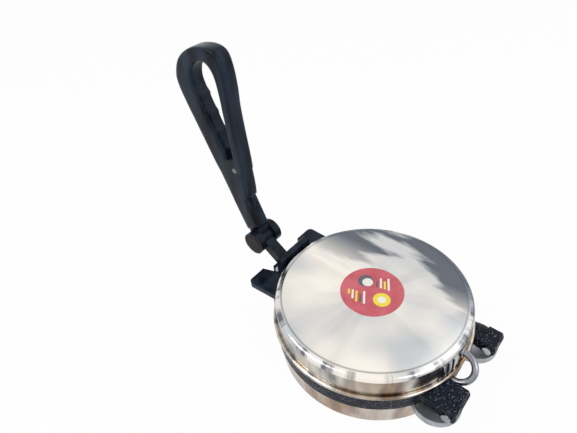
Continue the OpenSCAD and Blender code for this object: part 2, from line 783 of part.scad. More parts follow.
module pivot_ear_outline() {
    difference() {
        union() {
            translate([-pivot_y, pivot_z]) circle(r = eye_r);
            polygon([[-rim_r - 2, bracket_low_z], [-bracket_front_y + 2, bracket_low_z],
                     [-bracket_front_y, bracket_low_z + 2], [-bracket_front_y, stop_z],
                     [-stop_back_y, stop_z], [-pivot_y - eye_r, pivot_z], [-pivot_y + eye_r, pivot_z],
                     [-pivot_y + eye_r, flange_top_z - 4], [-rim_r - 2, flange_top_z - 4]]);
        }
        translate([-pivot_y, pivot_z]) circle(r = pivot_r + pin_gap);
    }
}

module pivot_bracket() {
    color([0.13, 0.13, 0.14]) placed() difference() {
        union() {
            for (x0 = [bracket_x, -bracket_x - bracket_wall]) slab(x0, bracket_wall) pivot_ear_outline();
            translate([-bracket_x - weld, -bracket_front_y, bracket_low_z + 2])
                cube([2 * bracket_x + 2 * weld, bracket_front_y - stop_back_y, stop_z - bracket_low_z - 2]);
            intersection() {
                translate([0, 0, bracket_low_z])
                    cylinder(h = flange_top_z - bracket_low_z, r = rim_r + flange_t, $fn = round_fn);
                translate([-flange_x, -wide, bracket_low_z]) cube([2 * flange_x, wide, rim_h]);
            }
        }
        translate([0, 0, rim_z - cut]) cylinder(h = rim_h + 2, r = rim_r + weld, $fn = round_fn);
        for (s = [-1, 1]) translate([s * bolt_x, -rim_r - 10, bolt_z]) rotate([-90, 0, 0])
            cylinder(h = 20, r = bolt_r + pin_gap, $fn = small_fn);
    }
}

// Bolts that are screwed from outside into the edge of the lower plate
module pivot_bracket_bolts() {
    color([0.8, 0.8, 0.8]) placed() for (s = [-1, 1]) translate([s * bolt_x, -bolt_seat_y, bolt_z])
        rotate([-90, 0, 0])
        screw_up(bolt_r, bolt_seat_y - rim_r + bolt_depth, bolt_head_r, bolt_head);
}

module pivot_pin() {
    end_x = bracket_x + bracket_wall;
    color([0.82, 0.82, 0.83]) placed() {
        bar_x(-end_x - 6, 2 * end_x + 6 + fit, -pivot_y, pivot_z, pivot_r, $fn);
        bar_x(end_x + fit, 3.4, -pivot_y, pivot_z, eye_r - 1.3);
    }
}

module pivot_nut() {
    color([0.82, 0.82, 0.83]) placed() translate([-bracket_x - bracket_wall - fit - 4.4, -pivot_y, pivot_z])
        rotate([0, 90, 0]) hex_nut(eye_r - 0.8, 4.4, pivot_r);
}

// Upper plate: one casting with its two hinge arms

module arm_outline(front) {
    difference() {
        union() {
            translate([hinge_y, hinge_z]) circle(r = knuckle_r);
            polygon([[front, arm_low_z], [front, arm_top_z], [hinge_y + knuckle_r * 0.7, arm_top_z - 0.6],
                     [hinge_y + knuckle_r, hinge_z + knuckle_r * 0.4], [hinge_y, hinge_z],
                     [hinge_y - knuckle_r * 0.9, arm_low_z]]);
        }
        translate([hinge_y, hinge_z]) circle(r = pin_r + pin_gap);
    }
}

module upper_plate() {
    color([0.20, 0.21, 0.24]) placed() difference() {
        union() {
            translate([0, 0, lid_z]) cylinder(h = plate_t, r = upper_plate_r, $fn = round_fn);
            translate([0, 0, upper_top_z - weld]) cylinder(h = clamp_stack + weld, r = boss_r);
            for (a = ARMS) {
                slab(a[0] - a[2], a[2]) arm_outline(pocket_y(a) + pocket_gap);
                slab(a[0] - a[1], a[1]) arm_outline(hinge_y - knuckle_r);
                intersection() {
                    translate([a[0] - a[2], pocket_y(a) + pocket_gap, arm_low_z])
                        cube([a[2], rim_r, lid_z + plate_t - 2 - arm_low_z]);
                    translate([0, 0, arm_low_z]) cylinder(h = rim_h, r = lug_r, $fn = round_fn);
                }
            }
        }
        translate([0, 0, upper_boss_z - thread_depth])
            cylinder(h = thread_depth + cut, r = stud_r + pin_gap, $fn = small_fn);
        ring_of(4, band_screw_r, 45) translate([0, 0, upper_top_z - 5])
            cylinder(h = 6, r = cover_hole_r, $fn = small_fn);
    }
}

module lid_tie_bolt() {
    color([0.78, 0.78, 0.78]) placed() translate([0, 0, upper_boss_z - thread_depth + 1])
        cylinder(h = top_z - sheet - 0.6 - upper_boss_z + thread_depth - 1, r = stud_r, $fn = small_fn);
}

module lid_tie_nut() {
    color([0.78, 0.78, 0.78]) placed() translate([0, 0, upper_insulation_z + insulation_t]) {
        difference() {
            cylinder(h = washer_t, r = washer_r);
            translate([0, 0, -cut]) cylinder(h = washer_t + 2 * cut, r = stud_r + pin_gap, $fn = small_fn);
        }
        translate([0, 0, washer_t]) hex_nut(stud_hex_r, stud_nut_h, stud_r);
    }
}

module upper_leads() {
    inner_y = band_r - conduit_in;
    ring_z = upper_heater_z + cold_l;
    color([0.85, 0.84, 0.8]) placed() for (s = [-1, 1]) lead([
        [s * cold_x, cold_y, ring_z], [s * cold_x, cold_y, ring_z + 2],
        [conduit_high_x + s * lead_pair * 2, clamp_r + 3, ring_z + 2],
        [conduit_high_x + s * lead_pair, inner_y - 4, conduit_high_z],
        [conduit_high_x + s * lead_pair, inner_y - 0.1, conduit_high_z]]);
}

// Band: a rolled bead at its lower edge, a seat on the upper plate, and a lip under the cap
module lid_band() {
    lip_r = shoulder_r - sheet - fit;
    lip_c = [cap_r - shoulder_r, lip_z];
    color([0.75, 0.73, 0.71]) placed() difference() {
        rotate_extrude($fn = round_fn) {
            polygon(concat([[band_low_r, bead_z]], arc(lip_c, lip_r, 0, 78, 6),
                [[top_flat_r - 8, top_z - sheet - fit], [top_flat_r - 8, top_z - 2 * sheet - fit]],
                arc(lip_c, lip_r - sheet, 78, 0, 6), [[band_low_r - sheet, bead_z]]));
            translate([bead_ring_r, bead_z]) circle(r = bead_d / 2, $fn = small_fn);
            translate([band_seat_r, upper_top_z])
                square([band_r_at(upper_top_z) - sheet / 2 - band_seat_r, sheet]);
        }
        ring_of(4, band_screw_r, 45) translate([0, 0, upper_top_z - cut])
            cylinder(h = 2, r = cover_hole_r, $fn = small_fn);
        translate([conduit_high_x, band_r - 6, conduit_high_z]) rotate([-90, 0, 0])
            cylinder(h = 12, r = conduit_d / 2 + conduit_gap, $fn = small_fn);
        for (s = [-1, 1]) rotate([0, 0, -90 + s * press_screw_angle])
            translate([band_r - 6, 0, press_screw_z])
            rotate([0, 90, 0]) cylinder(h = 12, r = foot_hole_r, $fn = small_fn);
    }
}

module band_screws() {
    color([0.8, 0.8, 0.8]) placed() ring_of(4, band_screw_r, 45) translate([0, 0, upper_top_z + sheet])
        rotate([180, 0, 0]) screw_up(1.5, 4.8, 2.6, 1.6);
}

module lid_cap() {
    c = [cap_r - shoulder_r, lip_z];
    color([0.88, 0.87, 0.84]) placed() rotate_extrude($fn = round_fn) polygon(concat(
        [[0, top_z], [top_flat_r, top_z]], arc(c, shoulder_r, 78, 0),
            [[cap_r, skirt_z], [cap_r - sheet, skirt_z]],
        arc(c, shoulder_r - sheet, 0, 78), [[top_flat_r, top_z - sheet], [0, top_z - sheet]]));
}

module lid_label() {
    color([0.86, 0.36, 0.38]) placed() translate([0, 0, top_z]) cylinder(h = label_t, r = label_r);
}

// A folded plate that covers the band's seam beside the conduit
module seam_plate() {
    color([0.82, 0.82, 0.83]) placed() {
        seam_wall(0, seam_angle, 0, seam_t, 0);
        for (f = seam_folds) seam_wall(f, fold_angle, seam_t / 2, fold_t, 0.6);
    }
}

// A wall along the band from angle f on, between two distances from the band, shortened at both ends
module seam_wall(f, angle, inner, outer, short) {
    low = bead_z + bead_d / 2 + 0.3 + short;
    high = skirt_z - 0.3 - short;
    rotate([0, 0, 90 - seam_end + f]) rotate_extrude(angle = angle, $fn = round_fn)
        polygon([for (p = [[inner, low], [outer, low], [outer, high], [inner, high]])
            [band_r_at(p[1]) + fit + p[0], p[1]]]);
}

// Conduit that carries the upper plate's leads, bent in one half turn behind the hinges' line

module conduit_ferrule() {
    color([0.82, 0.82, 0.83]) placed() difference() {
        translate([conduit_high_x, band_r - sheet, conduit_high_z]) rotate([-90, 0, 0])
            cylinder(h = ferrule_t + sheet, r = conduit_d / 2 + ferrule_w);
        translate([conduit_high_x, band_r - 6, conduit_high_z]) rotate([-90, 0, 0])
            cylinder(h = 20, r = conduit_d / 2 + conduit_gap);
        translate([0, 0, bead_z]) cylinder(h = lip_z - bead_z, r1 = band_low_r + fit, r2 = band_r + fit,
            $fn = round_fn);
    }
}

// The straight ends are a little thinner than the bend, so that they slide in their holes
module lead_conduit() {
    end_r = conduit_d / 2 - 0.1;
    color([0.8, 0.8, 0.8]) placed() {
        translate([conduit_high_x + conduit_side / 2, conduit_bend_y, conduit_low_z + conduit_drop / 2])
            rotate([0, conduit_turn, 0]) rotate_extrude(angle = 180, $fn = round_fn)
            translate([conduit_span / 2, 0]) circle(r = conduit_d / 2, $fn = small_fn);
        translate([conduit_high_x, band_r - conduit_in, conduit_high_z]) rotate([-90, 0, 0])
            cylinder(h = conduit_bend_y - band_r + conduit_in + weld, r = end_r, $fn = small_fn);
        translate([conduit_low_x, rim_r - conduit_in, conduit_low_z]) rotate([-90, 0, 0])
            cylinder(h = conduit_bend_y - rim_r + conduit_in + weld, r = end_r, $fn = small_fn);
    }
}

// Press bracket on the front of the lid: a strap on the band, two wings and the pressing lug

module wing_outline() {
    root_x = lug_x - 2;
    root_angle = asin(root_x / strap_mid_r);
    end_angle = asin((wing_x - 2) / strap_mid_r);
    polygon(concat([[root_x, -lug_front_y + 1], [slot_x, -lug_front_y - 2], [slot_x + 6, -wing_y]],
        arc([wing_x - wing_corner, -wing_y + wing_corner], wing_corner, -90, 0, 6),
        arc([0, 0], strap_mid_r, end_angle - 90, root_angle - 90, 8)));
}

// A curved wall against the band, from its clearance out to radius r
module band_wall(angle, low, high, r) {
    rotate([0, 0, -90 - angle]) rotate_extrude(angle = 2 * angle, $fn = round_fn)
        polygon([[band_r_at(low) + fit, low], [r, low], [r, high], [band_r_at(high) + fit, high]]);
}

module press_bracket() {
    lug_mid_z = lug_top_z - lug_edge;
    color([0.13, 0.13, 0.15]) placed() difference() {
        union() {
            for (m = [0, 1]) mirror([m, 0, 0]) translate([0, 0, wing_low_z])
                linear_extrude(height = wing_t) wing_outline();
            band_wall(strap_angle, strap_low_z, strap_top_z, band_r + strap_t);
            band_wall(pad_angle, strap_low_z + 0.4, pad_top_z, pad_r);
            slab(-lug_x, 2 * lug_x) polygon(concat(
                [[-lug_back_y, wing_low_z + 0.6], [-lug_front_y, wing_low_z + 0.6]],
                arc([-lug_front_y + lug_edge, lug_mid_z], lug_edge, 180, 90, 5),
                arc([-lug_back_y - lug_edge, lug_mid_z], lug_edge, 90, 0, 5)));
        }
        for (s = [-1, 1]) rotate([0, 0, -90 + s * press_screw_angle])
            translate([band_r - 2, 0, press_screw_z])
            rotate([0, 90, 0]) cylinder(h = 11, r = 2 + pin_gap, $fn = small_fn);
    }
}

// The screws are put in from inside the lid
module press_bracket_screws() {
    seat_r = band_r_at(press_screw_z) - sheet - 0.3;
    color([0.8, 0.8, 0.8]) placed() for (s = [-1, 1]) rotate([0, 0, -90 + s * press_screw_angle])
        translate([seat_r, 0, press_screw_z]) rotate([0, 90, 0]) screw_up(2, press_screw_l, 3.6, 2);
}

// Lever: a steel crank with a flat tang inside the moulded handle

module crank_outline() {
    difference() {
        union() {
            translate([-pivot_y, pivot_z]) circle(r = eye_r - 0.3);
            translate([-pivot_y, pivot_z]) rotate(180 - crank_angle) translate([0, -crank_t / 2])
                square([crank, crank_t]);
        }
        translate([-pivot_y, pivot_z]) circle(r = pivot_r + pin_gap);
        translate([axle_y, axle_z]) circle(r = axle_r + pin_gap);
    }
}

// Outline of the tang, grown on each side
module tang_outline(grow) {
    polygon([[-7 - grow, stem_z - 6], [7 + grow, stem_z - 6], [24 + grow, tang_top_z + grow],
        [10 - grow, tang_top_z + grow]]);
}

module lever_crank() {
    color([0.12, 0.12, 0.13]) placed() {
        slab(-crank_w / 2, crank_w) crank_outline();
        on_handle() difference() {
            union() {
                bar_x(-hub_x, 2 * hub_x, 0, 0, hub_r, $fn);
                translate([-hub_x, -9, 0]) cube([2 * hub_x, 18, stem_z - 0.3]);
                slab(-tang_w / 2, tang_w) tang_outline(0);
            }
            bar_x(-wide, 2 * wide, 0, 0, axle_r + pin_gap, $fn);
            bar_x(-wide, 2 * wide, screw_y, screw_z, 2.1);
        }
    }
}

// A plank with rounded edges round the points of its outline, which lie edge_r inside it
module plank(points) {
    hull() for (p = points, s = [-1, 1])
        translate([s * (handle_w / 2 - edge_r), p[0], p[1]]) sphere(r = edge_r, $fn = 20);
}

module handle_grip() {
    e = edge_r;
    bow = bow_d - 2 * e;
    far = reach - grip_back - e;
    top = handle_l - e;
    knee = [far - 17.5, top - knee_drop];
    foot = [far - 38, web_z - e];
    color([0.11, 0.12, 0.16]) placed() on_handle() difference() {
        union() {
            plank([[-13.5 + e, stem_z + e], [grip_n - e, stem_z + e], [crown_y + e, crown_z],
                [grip_n - e, crown_z]]);
            plank([[grip_n - 2 * e, step_z + e], [18 - e, step_z + e], [26 - e, step_z + 20], foot,
                [grip_n - 2 * e, web_z - e]]);
            plank([[crown_y + e, crown_z - 3], [grip_n - e, crown_z], [-7 + e, top - 14.5],
                [7, top - 5], [33, top], [33, top - 7.5]]);
            plank([[33, top], [33, top - 7.5], [far - 16.5, top - 14.5], [far - 13, top - 4]]);
            plank([[far - 16.5, top - 14.5], [far - 13, top - 4], [far, top - 19],
                [far - 1.5, top - 35], [far - 1.5 - bow - e, top - 35]]);
            plank([[far - 1.5, top - 35], [far - 1.5 - bow - e, top - 35], knee, knee - [bow, 0]]);
            plank([knee, knee - [bow, 0], foot, foot - [bow, 0]]);
            for (i = [0 : 3]) bar_x(-handle_w / 2 + e, handle_w - 2 * e, grip_n - 1,
                web_z + 12 + ridge_pitch * i, ridge_r);
        }
        slab(-tang_w / 2 - tang_gap, tang_w + 2 * tang_gap) tang_outline(tang_gap);
        bar_x(-handle_w, 2 * handle_w, screw_y, screw_z, 2.1);
        bar_x(handle_w / 2 - 2.4, handle_w, screw_y, screw_z, screw_head_r + 0.2);
    }
}

module handle_screw() {
    color([0.75, 0.75, 0.76]) placed() on_handle() {
        bar_x(-handle_w / 2 + 2, handle_w - 4, screw_y, screw_z, 2);
        bar_x(handle_w / 2 - 2.4, 2, screw_y, screw_z, screw_head_r);
    }
}

// Rollers on their axle, each with a clip and a flat disc that covers it

module roller_axle() {
    end_x = clip_x + clip_t + 0.7;
    color([0.8, 0.8, 0.8]) placed() bar_x(-end_x, 2 * end_x, axle_y, axle_z, axle_r, $fn);
}

module axle_clips() {
    color([0.5, 0.5, 0.5]) placed() for (x0 = [clip_x, -clip_x - clip_t]) difference() {
        bar_x(x0, clip_t, axle_y, axle_z, clip_r);
        bar_x(x0 - cut, clip_t + 2 * cut, axle_y, axle_z, axle_r + 0.02, $fn);
    }
}

module roller(side) {
    outer = roller_x + roller_w;
    mirror([side < 0 ? 1 : 0, 0, 0]) difference() {
        bar_x(roller_x, roller_w, axle_y, axle_z, roller_r, $fn);
        bar_x(roller_x - cut, roller_w, axle_y, axle_z, axle_r + pin_gap, $fn);
        bar_x(outer - cap_seat - clip_room, clip_room + cut, axle_y, axle_z, clip_r + 1.2, $fn);
        bar_x(outer - cap_seat, cap_seat + cut, axle_y, axle_z, cap_disc_r + fit, $fn);
    }
}

module roller_cap(side) {
    mirror([side < 0 ? 1 : 0, 0, 0])
        bar_x(roller_x + roller_w - cap_seat, cap_disc_t, axle_y, axle_z, cap_disc_r, $fn);
}

module right_roller() { color([0.12, 0.12, 0.14]) placed() roller(1); }
module right_roller_cap() { color([0.27, 0.22, 0.21]) placed() roller_cap(1); }
module left_roller() { color([0.12, 0.12, 0.14]) placed() roller(-1); }
module left_roller_cap() { color([0.27, 0.22, 0.21]) placed() roller_cap(-1); }

lower_plate();
base_casing();
bottom_cover();
cover_screws();
feet();
foot_screws();
lower_heater();
lower_clamp();
lower_insulation();
base_tie_bolt();
base_tie_nuts();
thermostat();
thermal_cutout();
terminal_block();
base_leads();
earth_screw();
inlet_housing();
inlet_pins();
inlet_screws();
pilot_lamp();
hinge_cups();
hinge_pins();
pivot_bracket();
pivot_bracket_bolts();
pivot_pin();
pivot_nut();
upper_plate();
upper_heater();
upper_clamp();
upper_insulation();
lid_tie_bolt();
lid_tie_nut();
upper_leads();
lid_band();
seam_plate();
band_screws();
lid_cap();
lid_label();
conduit_ferrule();
press_bracket();
press_bracket_screws();
lead_conduit();
lever_crank();
handle_grip();
handle_screw();
roller_axle();
axle_clips();
right_roller();
right_roller_cap();
left_roller();
left_roller_cap();
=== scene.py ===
"""Looks of an electric roti maker: finishes for its CAD nodes, small added pieces, light and camera."""

import json
import logging
import math
from dataclasses import dataclass
from enum import Enum
from typing import Any, Sequence, Union

import bpy
import numpy as np
from mathutils import Matrix, Vector


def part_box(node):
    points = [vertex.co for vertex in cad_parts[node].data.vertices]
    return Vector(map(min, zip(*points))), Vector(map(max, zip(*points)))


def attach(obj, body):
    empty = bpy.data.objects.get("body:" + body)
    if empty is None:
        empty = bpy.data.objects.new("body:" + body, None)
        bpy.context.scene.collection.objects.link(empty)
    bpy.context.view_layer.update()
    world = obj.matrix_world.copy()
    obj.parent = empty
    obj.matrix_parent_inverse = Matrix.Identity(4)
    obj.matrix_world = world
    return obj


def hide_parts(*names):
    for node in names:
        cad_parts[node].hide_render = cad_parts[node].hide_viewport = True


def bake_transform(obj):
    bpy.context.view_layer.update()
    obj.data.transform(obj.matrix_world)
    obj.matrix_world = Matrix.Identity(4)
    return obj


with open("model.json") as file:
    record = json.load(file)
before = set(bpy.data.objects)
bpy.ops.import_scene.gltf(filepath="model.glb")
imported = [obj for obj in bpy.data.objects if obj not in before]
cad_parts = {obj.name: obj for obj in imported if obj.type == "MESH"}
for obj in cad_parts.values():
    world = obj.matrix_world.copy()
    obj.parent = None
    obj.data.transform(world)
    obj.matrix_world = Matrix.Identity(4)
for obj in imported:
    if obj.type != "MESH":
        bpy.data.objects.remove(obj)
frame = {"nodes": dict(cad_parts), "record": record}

LOG = logging.getLogger("roti_maker")
MM = 0.001
Pair = tuple[float, float]
Inputs = Union[dict[Any, Any], Sequence[Any]]
Value = Union[bpy.types.Node, bpy.types.NodeSocket]
# Smooth noise mostly keeps to this range
NOISE_RANGE: Pair = (0.3, 0.7)


class Body(str, Enum):
    """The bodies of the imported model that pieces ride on."""

    BASE = "base"
    LID = "lid"
    LEVER = "lever"


class Slot(str, Enum):
    """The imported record's material slots."""

    CASTING = "coated_casting"
    SHEET = "sheet_steel"
    POLISHED = "polished_steel"
    BRIGHT = "bright_steel"
    SCREW = "screw_steel"
    HEATER = "heater_sheath"
    INSULATION = "insulation"
    CERAMIC = "ceramic"
    SLEEVING = "sleeving"
    BRASS = "brass"
    INLET = "inlet_moulding"
    LAMP = "lamp_lens"
    HANDLE = "handle_moulding"
    PAINTED = "painted_steel"
    ROLLER = "roller_moulding"
    ROLLER_CAP = "roller_cap"
    FOOT = "foot_rubber"
    LABEL = "label_print"


def linear(code: str) -> tuple[float, float, float, float]:
    """Turns an sRGB colour into the linear one that shaders take.

    Args:
        code: six hexadecimal digits.

    Returns:
        Red, green, blue and alpha, linear.
    """
    parts = [int(code[i : i + 2], 16) / 255 for i in (0, 2, 4)]
    red, green, blue = (c / 12.92 if c <= 0.04045 else ((c + 0.055) / 1.055) ** 2.4 for c in parts)
    return (red, green, blue, 1.0)


class Graph:
    """The node tree of a material or of the world.

    Sockets whose names repeat go by number. A Map Range node takes its value, the ends of the range
    that the value comes from and the ends of the range that it goes to, 0 and 1 where they are left
    out, and holds it there. A Mix node of colours takes its share at 0 and its colours at 6 and 7.
    """

    def __init__(self, owner: Union[bpy.types.Material, bpy.types.World]) -> None:
        """Empties the owner's node tree.

        Args:
            owner: the material or world.
        """
        self.owner = owner
        owner.use_nodes = True
        self.tree = owner.node_tree
        self.tree.nodes.clear()

    def add(self, kind: str, inputs: Inputs = (), **settings: Any) -> bpy.types.Node:
        """Adds a node with its settings and links.

        Args:
            kind: the node's type name, without the words that all such names begin with.
            inputs: for each socket a constant, an output, or a node, whose first output in use is
                meant; by the socket's name or number, or in the sockets' order.
            settings: properties of the node itself.

        Returns:
            The new node.
        """
        node = self.tree.nodes.new("ShaderNode" + kind)
        for key, value in settings.items():
            setattr(node, key, value)
        for key, value in (inputs if isinstance(inputs, dict) else dict(enumerate(inputs))).items():
            if isinstance(value, bpy.types.Node):
                value = next(out for out in value.outputs if out.enabled)
            if isinstance(value, bpy.types.NodeSocket):
                self.tree.links.new(value, node.inputs[key])
            else:
                node.inputs[key].default_value = value
        return node

    def polar(self, centre: Sequence[float]) -> tuple[bpy.types.Node, ...]:
        """Measures the surface round an upright axis.

        Args:
            centre: a point on the axis.

        Returns:
            The distance from the axis, the cosine and sine of the angle round it, and the offset from
            the centre.
        """
        point = self.add("TexCoord").outputs["Object"]
        offset = self.add("VectorMath", (point, tuple(centre)), operation="SUBTRACT")
        flat = self.add("VectorMath", (offset, (1.0, 1.0, 0.0)), operation="MULTIPLY")
        radius = self.add("VectorMath", (flat,), operation="LENGTH")
        x, y, _ = self.add("SeparateXYZ", (offset,)).outputs
        angle = self.add("Math", (y, x), operation="ARCTAN2")
        cosine, sine = (self.add("Math", (angle,), operation=name) for name in ("COSINE", "SINE"))
        return radius, cosine, sine, offset


@dataclass(frozen=True)
class Mottled:
    """A solid finish with faint lumps of a second tone and a fine grain.

    The colour goes from tone to second by smooth noise. A finer noise tilts the surface and spreads
    its roughness.
    """

    name: str
    tone: str
    second: str
    lump_mm: float
    rough: float = 0.5
    metal: float = 0.0
    grain_mm: float = 0.6667
    depth_mm: float = 0.03
    coat: float = 0.0
    coat_rough: float = 0.12
    shine: float = 0.5
    stretch: tuple[float, float, float] = (1.0, 1.0, 1.0)
    lump_range: Pair = (0.35, 0.65)
    rough_spread: Pair = (0.85, 1.15)

    def build(self) -> bpy.types.Material:
        """Builds the material's nodes.

        Returns:
            The material.
        """
        g = Graph(bpy.data.materials.new(self.name))
        point = g.add("TexCoord").outputs["Object"]
        stretched = g.add("Mapping", {"Vector": point, "Scale": self.stretch})
        lumps = g.add("TexNoise", {"Vector": stretched, "Scale": 1 / (self.lump_mm * MM), "Detail": 4.0})
        grain = g.add("TexNoise", {"Vector": point, "Scale": 1 / (self.grain_mm * MM), "Detail": 2.0})
        share = g.add("MapRange", (lumps, *self.lump_range))
        colour = g.add("Mix", {0: share, 6: linear(self.tone), 7: linear(self.second)}, data_type="RGBA")
        smooth, dull = (min(1.0, self.rough * spread) for spread in self.rough_spread)
        shader = g.add("BsdfPrincipled", {
            "Base Color": colour, "Metallic": self.metal,
            "Roughness": g.add("MapRange", (grain, *NOISE_RANGE, smooth, dull)),
            "Coat Weight": self.coat, "Coat Roughness": self.coat_rough, "Specular IOR Level": self.shine,
            "Normal": g.add("Bump", {"Height": grain, "Distance": self.depth_mm * MM})})
        g.add("OutputMaterial", {"Surface": shader})
        return g.owner


@dataclass(frozen=True)
class SpeckledCoat:
    """Black hammered paint on a casting: dark ground, pale specks and pits.

    A speck lies round the middle of each cell of a Voronoi pattern, where a smooth noise is high.
    Another noise gives the pits, and the roughness goes with their height.
    """

    name: str
    ground: str = "0e1522"
    speck: str = "c3cbd6"
    speck_mm: float = 1.5
    speck_edge: Pair = (0.12, 0.30)
    patch_mm: float = 3.846
    patch_range: Pair = (0.46, 0.60)
    pit_mm: float = 2.381
    pit_range: Pair = (0.35, 0.65)
    pit_depth_mm: float = 0.6
    rough: Pair = (0.28, 0.48)
    shine: float = 0.12

    def build(self) -> bpy.types.Material:
        """Builds the material's nodes.

        Returns:
            The material.
        """
        g = Graph(bpy.data.materials.new(self.name))
        point = g.add("TexCoord").outputs["Object"]
        cells = g.add("TexVoronoi", {"Vector": point, "Scale": 1 / (self.speck_mm * MM)}).outputs["Distance"]
        patch = g.add("TexNoise", {"Vector": point, "Scale": 1 / (self.patch_mm * MM), "Detail": 3.0})
        pits = g.add("TexNoise", {"Vector": point, "Scale": 1 / (self.pit_mm * MM), "Detail": 2.0})
        near = g.add("MapRange", (cells, *self.speck_edge, 1.0, 0.0))
        specks = g.add("Math", (near, g.add("MapRange", (patch, *self.patch_range))), operation="MULTIPLY")
        colour = g.add("Mix", {0: specks, 6: linear(self.ground), 7: linear(self.speck)}, data_type="RGBA")
        shader = g.add("BsdfPrincipled", {
            "Base Color": colour,
            "Roughness": g.add("MapRange", (pits, *self.pit_range, *self.rough)),
            "Specular IOR Level": self.shine,
            "Normal": g.add("Bump", {"Height": pits, "Distance": self.pit_depth_mm * MM})})
        g.add("OutputMaterial", {"Surface": shader})
        return g.owner


